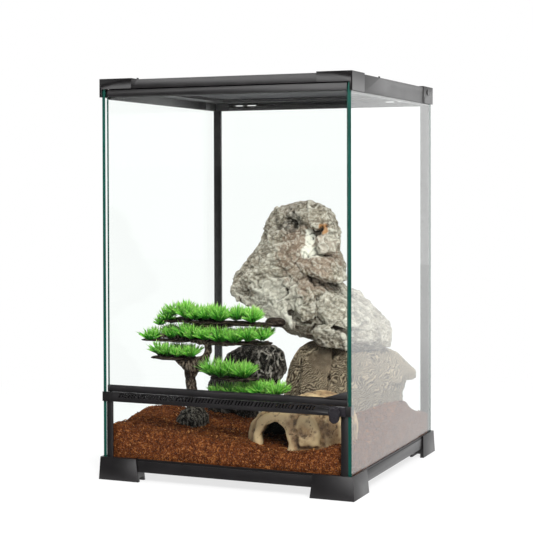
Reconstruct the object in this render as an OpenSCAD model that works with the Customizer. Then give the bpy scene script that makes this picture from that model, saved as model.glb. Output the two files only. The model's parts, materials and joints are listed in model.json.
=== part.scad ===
// Glass reptile terrarium: front door, woven lid, vent strip, and a planted rock landscape inside.
// Millimetres. Origin at the middle of the footprint on the table, X to the right, Y to the back, Z up.

/* [Tank] */
// Overall width, over the corner caps
tank_w = 300; // [300:2:330]
// Overall depth, over the corner caps
tank_d = 300; // [300:2:330]
// Overall height, feet to caps
tank_h = 450; // [430:5:600]
// Thickness of every glass pane
glass_t = 4; // [3.5:0.25:4.5]
// Wall of the frame mouldings outside the glass
frame_wall = 1.5; // [1.2:0.1:1.8]
// How far the corner caps stand proud of the rails
cap_proud = 0.5; // [0.3:0.1:0.8]

/* [Base] */
// Height of the corner feet
foot_h = 25.5; // [24.5:0.5:30]
// Length of a foot along each side, at its top
foot_len = 44.5; // [38:0.5:52]
// How deep a foot's legs reach under the tank
foot_depth = 16; // [12:0.5:20]
// How far a foot stands proud of the tank at its top
foot_proud = 0.7; // [0.5:0.1:1.2]
// How much wider a foot is at its bottom, outwards
foot_flare = 1.3; // [0.5:0.1:2]
// How much longer a foot is at its bottom, along the sides
foot_splay = 3.4; // [2:0.2:5]
// Height of the hollow under each leg of a foot
foot_hollow_h = 4.5; // [3:0.5:6]
// Length of that hollow, in from the leg's end
foot_hollow_len = 28; // [20:1:30]
// Wall of a foot beside the hollow
foot_wall = 3; // [2:0.5:4]
// Free height under the base rails
base_clear = 11; // [9:0.5:12]
// Height of a base rail's face
base_rail_h = 12.2; // [11:0.2:13]
// Thickness of the ledge under the floor glass
base_ledge_t = 4; // [3:0.25:5]
// Width of the ledge, from the rail's face
base_ledge_w = 17.5; // [14:0.5:22]
// Height of the seal that shows over the base rails
seal_h = 2.3; // [1.5:0.1:2.8]
// Thickness of the seal
seal_t = 0.8; // [0.5:0.1:1]

/* [Front] */
// Height of the vent bar's underside above the table
sill_z = 88.3; // [84:0.5:100]
// Height of the vent bar
vent_bar_h = 10.6; // [10.2:0.2:12]
// Depth of the vent bar, front to back
vent_bar_d = 14; // [12:0.5:18]
// Thickness of the vent bar's slotted face
vent_face_t = 2; // [1.5:0.1:2.4]
// Number of groups of vent slots
slot_groups = 10; // [6:1:10]
// Number of slots in a group
slots_per_group = 6; // [4:1:6]
// Spacing of the slots in a group
slot_pitch = 3.7; // [3.2:0.1:3.8]
// Spacing of the groups
slot_group_pitch = 23.7; // [23.5:0.1:24]
// Width of a slot
slot_w = 1.8; // [1.2:0.1:2]
// Lean of the slots from upright, in degrees
slot_lean = 30; // [10:1:35]
// Width of the corner posts beside the lower pane
post_w = 8; // [6:0.5:10]
// How far the lower pane goes into each post
post_grip = 4; // [3:0.5:5]
// Thickness of a post's flange in front of the lower pane
post_flange_t = 1.5; // [1:0.1:1.8]
// Width of the corner posts at the back
rear_post_w = 10; // [8:0.5:12]

/* [Door] */
// Distance of the hinge axis from the left pane
hinge_set = 3.5; // [3.4:0.05:3.8]
// Thickness of the door's rails
door_rail_t = 6.4; // [6:0.1:6.6]
// Height of the door's top rail
door_top_h = 7.5; // [7:0.25:9]
// Height of the door's bottom rail
door_bottom_h = 6.8; // [6.4:0.2:8]
// Depth of the glass grooves in the door's rails
door_grip = 3.8; // [3:0.1:4]
// Gap between the closed door and the frame, at top and bottom
door_gap = 0.5; // [0.4:0.1:0.8]
// Gap between the door's free edge and the right pane
door_side_gap = 0.6; // [0.5:0.1:1]
// Diameter of the pivot pins
pivot_d = 3; // [2.5:0.1:3.2]
// Length of a pivot pin outside the door
pivot_reach = 4; // [3:0.25:4.5]
// Length of the pull at the door's free end
pull_len = 27.5; // [20:0.5:34]
// Height of the pull at its outer end, above the rail
pull_rise = 8.4; // [6:0.2:11]

/* [Latch] */
// Width of the latch knob
knob_w = 13; // [11:0.5:13]
// Length of the knob below its pivot
knob_len = 11.5; // [9.5:0.5:14]
// Thickness of the knob
knob_t = 4; // [3:0.25:5]
// Diameter of the knob's spindle
spindle_d = 3.5; // [3:0.1:4]
// Distance of the knob's pivot from the right pane
knob_set = 13.4; // [12.5:0.1:15]
// Width of the plate behind the knob
latch_plate_w = 18.9; // [17:0.1:20]
// Thickness of the plate behind the knob
latch_plate_t = 1.2; // [0.8:0.1:1.6]

/* [Top frame] */
// Length of a corner cap along each side
cap_len = 40; // [34:1:48]
// Length of a rear cap along the back
rear_cap_len = 28; // [26:0.5:28]
// How far the rails' tops lie below the caps
rail_drop = 1.4; // [1:0.1:2]
// Height of the side and rear rails' faces
top_rail_h = 19.1; // [18:0.5:22]
// Height of the front fascia over the door
fascia_h = 10.1; // [9.5:0.1:11]
// Thickness of the rails' top web
top_web_t = 2.5; // [2:0.1:3]
// Width of the rails' top web
top_web_w = 21.5; // [20:0.5:22.5]
// Thickness of the wall inside the glass
channel_wall_t = 3.5; // [2.5:0.1:3.5]
// How far that wall hangs below the rail's face
channel_drop = 2.3; // [1:0.1:3]
// Width of the ledge that carries the lid
lid_ledge_w = 20.5; // [19:0.5:24]
// Thickness of that ledge
lid_ledge_t = 2; // [1.5:0.1:2.5]
// Depth of the lid's recess, ledge to the rails' tops
lid_recess = 9.6; // [9.2:0.1:10]

/* [Lid] */
// Height of the lid frame
lid_h = 6.5; // [6.2:0.1:6.8]
// Width of the lid frame's bars
lid_bar_w = 8; // [7.5:0.5:10]
// Spacing of the lid's wires
mesh_pitch = 11; // [9:0.5:14]
// Width of a wire strip
mesh_wire = 1.2; // [0.8:0.1:1.6]
// Thickness of the woven sheet
mesh_t = 1.4; // [1:0.1:1.6]
// Width of a lid bolt
bolt_w = 12; // [9:0.5:14]
// Thickness of a lid bolt
bolt_t = 2; // [1.6:0.1:2.2]
// Travel of a lid bolt
bolt_travel = 8; // [6:0.5:9]
// Distance between the two lid bolts
bolt_spacing = 120; // [90:5:160]

/* [Cable inlets] */
// Width of a cable inlet
inlet_w = 29; // [24:0.5:30]
// Height of a cable inlet
inlet_h = 10.6; // [9:0.2:11]
// Distance of an inlet's middle from the tank's side
inlet_set = 48.6; // [48:0.2:52]
// How far a shutter covers past its inlet, each side
shutter_lap = 4; // [3:0.5:5]
// Thickness of a shutter
shutter_t = 3; // [2.4:0.1:3]
// Gap left under a closed shutter
shutter_slit = 1.2; // [0.8:0.1:1.6]

/* [Landscape] */
// Middle of the cave, from the right pane
cave_from_right = 80; // [76:1:84]
// Middle of the cave, from the line of the side panes' front
cave_from_front = 60; // [56:1:64]
// Middle of the tree, from the left pane
tree_from_left = 75; // [72:1:78]
// Middle of the tree, from the line of the side panes' front
tree_from_front = 64; // [60:1:68]
// Middle of the brown rock, from the right pane
brown_from_right = 96; // [95:1:100]
// Middle of the brown rock, from the rear pane
brown_from_rear = 48; // [44:1:50]
// Middle of the dark rock, from the rear pane
dark_from_rear = 114; // [108:1:118]
// Mean depth of the soil over the floor glass
soil_depth = 30; // [26:1:36]
// Height of the mound at the right pane
soil_mound = 27; // [15:1:32]
// Wall thickness of the cave
cave_wall = 8; // [6:0.5:10]
// Thickness of the tree's trunk
trunk_d = 12; // [9:0.5:15]
// Number of steps across the soil's surface
soil_steps = 26; // [16:1:32]

/* [Hidden] */
// Clearance between flat faces of pieces that move
gap = 0.3;
// Radial running clearance of pins and spindles
run_gap = 0.05;
// Overlap that makes a cut go cleanly through a face
cut = 1;

// Colours of the real finishes
plastic_colour = "#2f2d30";
plastic_light = "#3d3b3e";
glass_colour = [0.55, 0.80, 0.74, 0.35];
seal_colour = "#141315";
steel_colour = "#8d9092";
soil_colour = "#7a4529";
cave_colour = "#a8946a";
brown_rock_colour = "#7b6c58";
grey_rock_colour = "#9d978c";
dark_rock_colour = "#4a4542";
bark_colour = "#54473d";
leaf_colour = "#49a02f";

// Half sizes of the tank, the rails and the glass
half_w = tank_w / 2;
half_d = tank_d / 2;
glass_inset = cap_proud + frame_wall;
glass_out_x = half_w - glass_inset;
glass_out_y = half_d - glass_inset;
glass_in_x = glass_out_x - glass_t;
glass_in_y = glass_out_y - glass_t;
rail_out_x = half_w - cap_proud;
rail_out_y = half_d - cap_proud;

// Heights of the base
floor_bottom = base_clear + base_ledge_t;
floor_top = floor_bottom + glass_t;
base_rail_top = base_clear + base_rail_h;
seal_top = base_rail_top + seal_h;

// The lower pane, set back from the vent bar's face
vent_front = -half_d;
vent_back = vent_front + vent_bar_d;
vent_top = sill_z + vent_bar_h;
pane_front = -(half_d - 4);
pane_back = pane_front + glass_t;
pane_bury = 2;
pane_top = sill_z + pane_bury;
post_front = pane_front - post_flange_t;

// The air duct behind the vent slots
duct_floor = sill_z + 4.3;
duct_roof = vent_top - 1.3;
slot_h = duct_roof - duct_floor + 0.4;
slot_shift = slot_h * tan(slot_lean);
slot_row_w = (slot_groups - 1) * slot_group_pitch + (slots_per_group - 1) * slot_pitch + slot_shift + slot_w;
slot_start = -(glass_in_x - 16);
duct_margin = 1.5;
duct_left = slot_start - duct_margin;
duct_right = slot_start + slot_row_w + duct_margin;

// The top frame
rail_top = tank_h - rail_drop;
rail_bottom = rail_top - top_rail_h;
web_under = rail_top - top_web_t;
web_in = cap_proud + top_web_w;
fascia_bottom = rail_top - fascia_h;
channel_in = glass_inset + glass_t + channel_wall_t;
channel_bottom = rail_bottom - channel_drop;
ledge_top = rail_top - lid_recess;
ledge_bottom = ledge_top - lid_ledge_t;
ledge_in = channel_in + lid_ledge_w;
head_t = 1.5;
head_boss_h = 4.5;
leg_w = 3;

// The door
hinge_x = -(glass_in_x - hinge_set);
hinge_y = pane_front + 1;
door_front = hinge_y - door_rail_t / 2;
door_back = hinge_y + door_rail_t / 2;
door_right = glass_in_x - door_side_gap;
door_bottom = vent_top + door_gap;
door_top = fascia_bottom - 2 * door_gap;
door_glass_bottom = door_bottom + door_bottom_h - door_grip;
door_glass_top = door_top - door_top_h + door_grip;
door_glass_left = hinge_x - sqrt(pow(door_rail_t / 2 - 0.3, 2) - pow(glass_t / 2, 2));
door_bevel = 1.2;
stop_gap = 0.4;
stop_t = 2;

// The latch
knob_x = glass_in_x - knob_set;
knob_z = vent_top - knob_w / 2;
plate_front = vent_front - latch_plate_t;
knob_back = plate_front - gap;
knob_front = knob_back - knob_t;
clip_t = 1.2;
clip_d = 2 * spindle_d;

// The lid, which hangs in the recess of the top frame
lid_gap = 0.6;
lid_out_inset = web_in + lid_gap;
lid_bottom = ledge_top + gap;
lid_top = lid_bottom + lid_h;
lid_half_x = half_w - lid_out_inset;
lid_half_y = half_d - lid_out_inset;
mesh_grip = 3;
mesh_half_x = lid_half_x - lid_bar_w + mesh_grip;
mesh_half_y = lid_half_y - lid_bar_w + mesh_grip;
mesh_bottom = lid_bottom + 1.2;
bolt_under = mesh_bottom + mesh_t + 0.6;
bolt_top = bolt_under + bolt_t;
bolt_len = lid_bar_w + 11;
bolt_front = -(lid_half_y - 0.6);
strap_t = 1;

// The cable inlets over the rear pane
rear_glass_top = rail_bottom + 1.5;
rear_web_top = rear_glass_top + 2;
shutter_out = glass_out_y - gap;
shutter_in = shutter_out - shutter_t;
guide_out = shutter_in - gap;
guide_t = 1.4;
guide_h = 5;
shutter_top = web_under - gap;
shutter_tongue_w = 5.7;

// The landscape, in heights over the floor glass
soil_gap = 0.3;
// Middle of an inlet from the middle of the back
inlet_x = half_w - inlet_set;

// Middles of the landscape's pieces
cave_x = glass_in_x - cave_from_right;
cave_y = cave_from_front - glass_in_y;
tree_x = tree_from_left - glass_in_x;
tree_y = tree_from_front - glass_in_y;
brown_x = glass_in_x - brown_from_right;
brown_y = glass_in_y - brown_from_rear;
upper_shift = [-48, -16];
upper_x = brown_x + upper_shift[0];
upper_y = brown_y + upper_shift[1];
dark_x = -50;
dark_y = glass_in_y - dark_from_rear;

soil_left = -(glass_in_x - soil_gap);
soil_right = glass_in_x - soil_gap;
soil_front = pane_back + soil_gap;
soil_back = glass_in_y - soil_gap;
rock_chip = 1;

// ---- Helpers ----

// A box from its low corner to its high corner
module block(low, high) {
    translate(low) cube(high - low);
}

// A square ring round the tank, from one inset to a deeper one, between two heights
module ring(inset_out, inset_in, z0, z1) {
    difference() {
        block([-(half_w - inset_out), -(half_d - inset_out), z0], [half_w - inset_out, half_d - inset_out, z1]);
        block([-(half_w - inset_in), -(half_d - inset_in), z0 - cut], [half_w - inset_in, half_d - inset_in, z1 + cut]);
    }
}

// A profile drawn in Y and Z, carried along X from x0 to x1
module along_x(x0, x1) {
    translate([x0, 0, 0]) rotate([90, 0, 90]) linear_extrude(x1 - x0) children();
}

// A profile drawn in X and Z, carried along Y from y0 to y1
module along_y(y0, y1) {
    translate([0, y1, 0]) rotate([90, 0, 0]) linear_extrude(y1 - y0) children();
}

// ---- Base ----

module base_end_rail(side) {
    color(plastic_colour) mirror([0, side > 0 ? 0 : 1, 0]) difference() {
        block([-rail_out_x, rail_out_y - base_ledge_w, base_clear], [rail_out_x, rail_out_y, base_rail_top]);
        block([-rail_out_x - cut, rail_out_y - base_ledge_w - cut, floor_bottom],
              [rail_out_x + cut, glass_out_y, base_rail_top + cut]);
    }
}

module base_side_rail(side) {
    color(plastic_colour) mirror([side > 0 ? 0 : 1, 0, 0]) {
        block([rail_out_x - base_ledge_w, -(rail_out_y - base_ledge_w), base_clear],
              [rail_out_x, rail_out_y - base_ledge_w, floor_bottom]);
        block([glass_out_x, -glass_out_y, floor_bottom], [rail_out_x, glass_out_y, base_rail_top]);
    }
}

module base_front_rail() { base_end_rail(-1); }
module base_rear_rail() { base_end_rail(1); }
module base_left_rail() { base_side_rail(-1); }
module base_right_rail() { base_side_rail(1); }

// One leg of a foot, along X, with every face but the top sloping outwards
module foot_leg() {
    top_out = half_w + foot_proud;
    top_front = -(half_d + foot_proud);
    hull() {
        block([half_w - foot_len, top_front, foot_h - 0.1], [top_out, top_front + foot_depth, foot_h]);
        block([half_w - foot_len - foot_splay, top_front - foot_flare, 0],
              [top_out + foot_flare, top_front + foot_depth, 0.1]);
    }
}

// The hollow under a leg, open at the leg's inner end
module foot_hollow() {
    outer = half_d + foot_proud - foot_wall;
    block([0, -outer, -cut],
          [half_w - foot_len + foot_hollow_len, -outer + foot_depth - 2 * foot_wall, foot_hollow_h]);
}

// Swaps a leg about the corner's diagonal
module other_leg() {
    translate([half_w, -half_d, 0]) mirror([1, 1, 0]) translate([-half_w, half_d, 0]) children();
}

module foot(side_x, side_y) {
    color(plastic_light)
    mirror([side_x > 0 ? 0 : 1, 0, 0]) mirror([0, side_y > 0 ? 1 : 0, 0]) difference() {
        union() {
            foot_leg();
            other_leg() foot_leg();
        }
        block([-cut, -rail_out_y, base_clear], [rail_out_x, cut, base_rail_top]);
        block([-cut, -(glass_out_y + seal_t), base_rail_top - cut / 2],
              [glass_out_x + seal_t, cut, foot_h + cut]);
        foot_hollow();
        other_leg() foot_hollow();
    }
}

module foot_front_left() { foot(-1, -1); }
module foot_front_right() { foot(1, -1); }
module foot_rear_left() { foot(-1, 1); }
module foot_rear_right() { foot(1, 1); }

// ---- Glass ----

module floor_glass() {
    color(glass_colour) block([-glass_in_x, pane_back, floor_bottom], [glass_in_x, glass_in_y, floor_top]);
}

module side_pane(side) {
    color(glass_colour) mirror([side > 0 ? 0 : 1, 0, 0])
        block([glass_in_x, -glass_out_y, floor_bottom], [glass_out_x, glass_out_y, web_under]);
}

module left_glass() { side_pane(-1); }
module right_glass() { side_pane(1); }

module rear_glass() {
    color(glass_colour) block([-glass_in_x, glass_in_y, floor_bottom], [glass_in_x, glass_out_y, rear_glass_top]);
}

module lower_front_glass() {
    x = glass_in_x - post_w + post_grip;
    color(glass_colour) block([-x, pane_front, floor_bottom], [x, pane_back, pane_top]);
}

// The black seal between the panes and the base rails
module base_seal() {
    inner = glass_inset;
    x = glass_in_x - post_w;
    color(seal_colour) {
        difference() {
            ring(inner - seal_t, inner, base_rail_top, seal_top);
            block([-half_w, -half_d, 0], [half_w, -glass_out_y, foot_h + seal_top]);
        }
        block([-x, -glass_out_y, floor_bottom], [x, pane_front, seal_top]);
    }
}

// ---- Corner posts ----

module front_post(side) {
    color(plastic_colour) mirror([side > 0 ? 0 : 1, 0, 0]) {
        block([glass_in_x - post_w, post_front, floor_bottom], [glass_in_x, pane_front, sill_z]);
        block([glass_in_x - post_w + post_grip, pane_front, floor_bottom], [glass_in_x, pane_back, sill_z]);
    }
}

module rear_post(side) {
    color(plastic_colour) mirror([side > 0 ? 0 : 1, 0, 0])
        block([glass_in_x - rear_post_w, glass_in_y - glass_t, floor_top], [glass_in_x, glass_in_y, channel_bottom]);
}

module front_left_post() { front_post(-1); }
module front_right_post() { front_post(1); }
module rear_left_post() { rear_post(-1); }
module rear_right_post() { rear_post(1); }

// ---- Vent bar ----

// A leaning slot, its lower left corner at the origin
module slot_shape() {
    polygon([[0, 0], [slot_w, 0], [slot_w + slot_shift, slot_h], [slot_shift, slot_h]]);
}

module slot_rows() {
    for (g = [0 : slot_groups - 1], s = [0 : slots_per_group - 1])
        translate([slot_start + g * slot_group_pitch + s * slot_pitch, duct_floor + 0.2]) slot_shape();
}

module vent_bar() {
    rib_left = duct_right + 2;
    rib_right = knob_x - knob_w / 2 - 0.5;
    color(plastic_colour) difference() {
        union() {
            along_y(vent_front, vent_front + vent_face_t) difference() {
                translate([-glass_out_x, sill_z]) square([2 * glass_out_x, vent_bar_h]);
                slot_rows();
            }
            block([-glass_in_x, vent_front + vent_face_t, sill_z], [glass_in_x, vent_back, vent_top]);
            block([rib_left, vent_front - 0.4, vent_top - 3.6], [rib_right, vent_front, vent_top - 2.6]);
        }
        // air duct, open to the back
        block([duct_left, vent_front + vent_face_t, duct_floor], [duct_right, vent_back + cut, duct_roof]);
        // groove for the lower pane
        x = glass_in_x - post_w + post_grip;
        block([-x, pane_front, sill_z - cut], [x, pane_back, pane_top]);
        // bore for the door's lower pivot
        translate([hinge_x, hinge_y, vent_top - pivot_reach])
            cylinder(d = pivot_d + 2 * run_gap, h = pivot_reach + cut, $fn = 48);
        // bore for the latch spindle
        translate([knob_x, vent_front - cut, knob_z]) rotate([-90, 0, 0])
            cylinder(d = spindle_d + 2 * run_gap, h = vent_bar_d + 2 * cut, $fn = 48);
    }
}

module vent_screen() {
    screen_t = 0.5;
    cell = 4;
    cells = floor((duct_right - duct_left) / cell);
    bar = 0.8;
    color(steel_colour) along_y(vent_front + vent_face_t, vent_front + vent_face_t + screen_t) difference() {
        translate([duct_left, duct_floor]) square([duct_right - duct_left, duct_roof - duct_floor]);
        for (i = [0 : cells - 1])
            translate([duct_left + bar + i * cell, duct_floor + bar])
                square([cell - bar, duct_roof - duct_floor - 2 * bar]);
    }
}

// ---- Latch ----

module latch_plate() {
    left = knob_x - knob_w / 2 - 0.4;
    r = 3;
    color(plastic_light) along_y(plate_front, vent_front) difference() {
        union() {
            translate([left, sill_z]) square([latch_plate_w - r, vent_bar_h]);
            translate([left, sill_z]) square([latch_plate_w, vent_bar_h - r]);
            translate([left + latch_plate_w - r, vent_top - r]) circle(r, $fn = 48);
        }
        translate([knob_x, knob_z]) circle(d = spindle_d + 2 * run_gap, $fn = 48);
    }
}

module latch_knob() {
    tip_r = knob_w / 2 - 1.3;
    crown = 1.2;
    color(plastic_light) translate([knob_x, knob_back, knob_z]) rotate([90, 0, 0]) hull() {
        cylinder(d = knob_w, h = knob_t - crown, $fn = 32);
        cylinder(d = knob_w - 2 * crown, h = knob_t, $fn = 32);
        translate([0, tip_r - knob_len, 0]) cylinder(r = tip_r, h = knob_t - crown, $fn = 32);
        translate([0, tip_r - knob_len, 0]) cylinder(r = tip_r - crown, h = knob_t, $fn = 32);
    }
}

module latch_spindle() {
    color(steel_colour) translate([knob_x, knob_back, knob_z]) rotate([-90, 0, 0])
        cylinder(d = spindle_d, h = vent_back - knob_back + gap + clip_t, $fn = 48);
}

module latch_clip() {
    color(steel_colour) translate([knob_x, vent_back + gap, knob_z]) rotate([-90, 0, 0]) difference() {
        cylinder(d = clip_d, h = clip_t, $fn = 48);
        translate([0, 0, -cut]) cylinder(d = spindle_d, h = clip_t + 2 * cut, $fn = 48);
    }
}

// ---- Door ----

// A rail of the door, between two heights, rounded about the hinge axis so that it clears the left pane
module door_rail(z0, z1) {
    difference() {
        union() {
            block([hinge_x, door_front, z0], [door_right, door_back, z1]);
            translate([hinge_x, hinge_y, z0]) cylinder(d = door_rail_t, h = z1 - z0, $fn = 64);
        }
        block([door_glass_left, hinge_y - glass_t / 2, door_glass_bottom],
              [door_right + cut, hinge_y + glass_t / 2, door_glass_top]);
        translate([hinge_x, hinge_y, z0 - cut]) cylinder(d = pivot_d, h = z1 - z0 + 2 * cut, $fn = 48);
    }
}

module door_glass() {
    color(glass_colour) block([door_glass_left, hinge_y - glass_t / 2, door_glass_bottom],
                              [door_right, hinge_y + glass_t / 2, door_glass_top]);
}

module door_top_rail() {
    color(plastic_colour) door_rail(door_top - door_top_h, door_top);
}

module door_bottom_rail() {
    top = door_bottom + door_bottom_h;
    color(plastic_colour) difference() {
        door_rail(door_bottom, top);
        // bevel along the front of the rail
        along_x(hinge_x + door_rail_t / 2, door_right + cut)
            polygon([[door_front - cut, top - door_bevel - cut], [door_front + door_bevel + cut, top + cut],
                     [door_front - cut, top + cut]]);
    }
}

// The pull: a fin that rises towards the free end, on the front of the glass
module door_pull() {
    top = door_bottom + door_bottom_h;
    left = door_right - pull_len;
    r = 4;
    fin_front = door_front;
    fin_back = hinge_y - glass_t / 2;
    color(plastic_light) difference() {
        along_y(fin_front, fin_back)
            polygon([[left, top], [door_right, top], [door_right, top + pull_rise]]);
        translate([door_right - pull_len / 3, fin_front - cut, top - r]) rotate([-90, 0, 0])
            cylinder(r = r, h = cut + 0.8, $fn = 48);
    }
}

module door_pivot_pins() {
    color(steel_colour) {
        translate([hinge_x, hinge_y, vent_top - pivot_reach + gap])
            cylinder(d = pivot_d, h = door_glass_bottom - vent_top + pivot_reach - gap, $fn = 48);
        translate([hinge_x, hinge_y, door_glass_top])
            cylinder(d = pivot_d, h = fascia_bottom + pivot_reach - gap - door_glass_top, $fn = 48);
    }
}

// ---- Top frame ----

// The whole frame at rail size, before it is parted into rails and caps
module top_frame() {
    head_back = door_back + stop_gap + stop_t;
    difference() {
        union() {
            ring(cap_proud, glass_inset, rail_bottom, rail_top);
            ring(cap_proud, web_in, web_under, rail_top);
            ring(glass_inset + glass_t, channel_in, channel_bottom, web_under);
            ring(channel_in, ledge_in, ledge_bottom, ledge_top);
            // web over the rear pane
            block([-glass_in_x, glass_in_y, rear_glass_top], [glass_in_x, glass_out_y, rear_web_top]);
        }
        // the doorway
        block([-glass_in_x, -glass_out_y - cut, channel_bottom - cut], [glass_in_x, door_back + stop_gap, fascia_bottom]);
        block([-(half_w - leg_w), -half_d - cut, rail_bottom - cut], [half_w - leg_w, -glass_out_y, fascia_bottom]);
        block([-(half_w - channel_in), -glass_in_y - cut, channel_bottom - cut],
              [half_w - channel_in, -(half_d - channel_in), ledge_bottom]);
        block([-glass_in_x, -glass_out_y, fascia_bottom + head_t], [glass_in_x, -(half_d - channel_in), web_under]);
        // the shutters' race over the rear pane
        block([-(half_w - rear_cap_len), half_d - channel_in, rear_web_top],
              [half_w - rear_cap_len, glass_out_y, web_under]);
        // the cable inlets
        for (side = [-1, 1])
            translate([side * inlet_x, 0, 0])
                block([-inlet_w / 2, glass_in_y, rear_web_top + 0.2],
                      [inlet_w / 2, half_d + cut, rear_web_top + 0.2 + inlet_h]);
    }
    // door head and stop
    block([-glass_in_x, -glass_out_y, fascia_bottom], [glass_in_x, head_back, fascia_bottom + head_t]);
    block([-(half_w - channel_in), door_back + stop_gap, channel_bottom + 2],
          [half_w - channel_in, head_back, fascia_bottom + head_t]);
    // guides that keep the shutters upright
    block([-(half_w - rear_cap_len), guide_out - guide_t, web_under - guide_h],
          [half_w - rear_cap_len, guide_out, web_under]);
}

// The skin by which the caps stand proud of the rails
module cap_skin() {
    ring(0, cap_proud, rail_bottom, tank_h);
    ring(cap_proud, web_in, rail_top, tank_h);
}

module cap_zone(side_x, side_y) {
    x = half_w - (side_y > 0 ? rear_cap_len : cap_len);
    mirror([side_x > 0 ? 0 : 1, 0, 0]) mirror([0, side_y > 0 ? 0 : 1, 0])
        block([x, half_d - cap_len, 0], [half_w + cut, half_d + cut, tank_h + cut]);
}

// A bump as tall as the caps on a rail's top
module rail_pip(x, y) {
    pip = 2;
    block([x - pip / 2, y - pip / 2, rail_top], [x + pip / 2, y + pip / 2, tank_h]);
}

module pivot_boss() {
    translate([hinge_x, hinge_y, fascia_bottom]) cylinder(d = 2 * pivot_d + 1, h = head_boss_h, $fn = 48);
}

module pivot_bore() {
    translate([hinge_x, hinge_y, fascia_bottom - cut])
        cylinder(d = pivot_d + 2 * run_gap, h = pivot_reach + cut, $fn = 48);
}

module top_front_rail() {
    color(plastic_light) {
        intersection() {
            top_frame();
            block([-(half_w - cap_len), -half_d, 0], [half_w - cap_len, -(half_d - cap_len), tank_h]);
        }
        rail_pip(-(half_w - cap_len - 7.7), -(rail_out_y - 1));
    }
}

module top_rear_rail() {
    color(plastic_light) intersection() {
        top_frame();
        block([-(half_w - rear_cap_len), half_d - cap_len, 0], [half_w - rear_cap_len, half_d, tank_h]);
    }
}

module top_side_rail(side) {
    color(plastic_light) intersection() {
        top_frame();
        mirror([side > 0 ? 0 : 1, 0, 0])
            block([half_w - cap_len, -(half_d - cap_len), 0], [half_w, half_d - cap_len, tank_h]);
    }
}

module top_left_rail() { top_side_rail(-1); }
module top_right_rail() {
    top_side_rail(1);
    color(plastic_light) rail_pip(rail_out_x - 1, -(half_d - cap_len) + 53.5);
}

// Slot in a rear cap's side, near its joint with the rail
module cap_slot() {
    slot_w = 1.4;
    slot_depth = 1.2;
    slot_h = 7.5;
    y = half_d - cap_len + 3.2;
    block([half_w - slot_depth, y, rail_bottom - cut], [half_w + cut, y + slot_w, rail_bottom + slot_h]);
}

module cap(side_x, side_y) {
    front_cut = half_w - leg_w;
    color(plastic_colour) difference() {
        intersection() {
            union() {
                top_frame();
                cap_skin();
                if (side_y < 0 && side_x < 0) pivot_boss();
            }
            cap_zone(side_x, side_y);
        }
        block([-front_cut, -half_d - cut, rail_bottom - cut], [front_cut, -rail_out_y, fascia_bottom]);
        if (side_y < 0 && side_x < 0) pivot_bore();
        if (side_y > 0) mirror([side_x > 0 ? 0 : 1, 0, 0]) cap_slot();
    }
}

module cap_front_left() { cap(-1, -1); }
module cap_front_right() { cap(1, -1); }
module cap_rear_left() { cap(-1, 1); }
module cap_rear_right() { cap(1, 1); }

// Oblong plugs in the outer faces of the rear caps
module cap_plugs() {
    plug_len = 15;
    plug_h = 7;
    plug_proud = 0.8;
    plug_y = half_d - 19;
    plug_z = tank_h - 6.7;
    run = (plug_len - plug_h) / 2;
    color(plastic_light) for (side = [0, 1]) mirror([side, 0, 0]) along_x(half_w, half_w + plug_proud) {
        translate([plug_y - run, plug_z - plug_h / 2]) square([2 * run, plug_h]);
        for (s = [-1, 1]) translate([plug_y + s * run, plug_z]) circle(d = plug_h, $fn = 48);
    }
}

// ---- Lid ----

module lid_frame() {
    slot_half = bolt_w / 2 + gap;
    tab = 14;
    color(plastic_colour) difference() {
        union() {
            ring(lid_out_inset, lid_out_inset + lid_bar_w, lid_bottom, lid_top);
            // finger tabs over the mesh, front and back
            for (s = [-1, 1])
                translate([0, s * (lid_half_y - lid_bar_w - 3), 0])
                    block([-tab, -3, lid_top - 2], [tab, 3, lid_top]);
        }
        // groove that holds the mesh
        block([-mesh_half_x, -mesh_half_y, mesh_bottom], [mesh_half_x, mesh_half_y, mesh_bottom + mesh_t]);
        // channels for the bolts
        for (s = [-1, 1])
            translate([s * bolt_spacing / 2, 0, 0])
                block([-slot_half, -lid_half_y - cut, bolt_under - gap], [slot_half, -lid_half_y + lid_bar_w + cut, lid_top + cut]);
    }
    // straps over the bolts
    color(plastic_colour) for (s = [-1, 1])
        translate([s * bolt_spacing / 2, 0, 0])
            block([-slot_half, -lid_half_y + 2, lid_top - strap_t], [slot_half, -lid_half_y + 5, lid_top]);
}

module lid_mesh() {
    nx = floor(mesh_half_x * 2 / mesh_pitch);
    ny = floor(mesh_half_y * 2 / mesh_pitch);
    hole_x = (2 * mesh_half_x - mesh_wire) / nx - mesh_wire;
    hole_y = (2 * mesh_half_y - mesh_wire) / ny - mesh_wire;
    color(steel_colour) translate([0, 0, mesh_bottom]) linear_extrude(mesh_t) difference() {
        translate([-mesh_half_x, -mesh_half_y]) square([2 * mesh_half_x, 2 * mesh_half_y]);
        for (i = [0 : nx - 1], j = [0 : ny - 1])
            translate([-mesh_half_x + mesh_wire + i * (hole_x + mesh_wire), -mesh_half_y + mesh_wire + j * (hole_y + mesh_wire)])
                square([hole_x, hole_y]);
    }
}

module lid_bolt(side) {
    grip_t = 2;
    color(plastic_light) translate([side * bolt_spacing / 2, bolt_front, 0]) {
        block([-bolt_w / 2, 0, bolt_under], [bolt_w / 2, bolt_len, bolt_top]);
        block([-bolt_w / 2, bolt_len - grip_t, bolt_top], [bolt_w / 2, bolt_len, bolt_top + 3]);
    }
}

module lid_bolt_left() { lid_bolt(-1); }
module lid_bolt_right() { lid_bolt(1); }

// ---- Cable inlets ----

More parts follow.
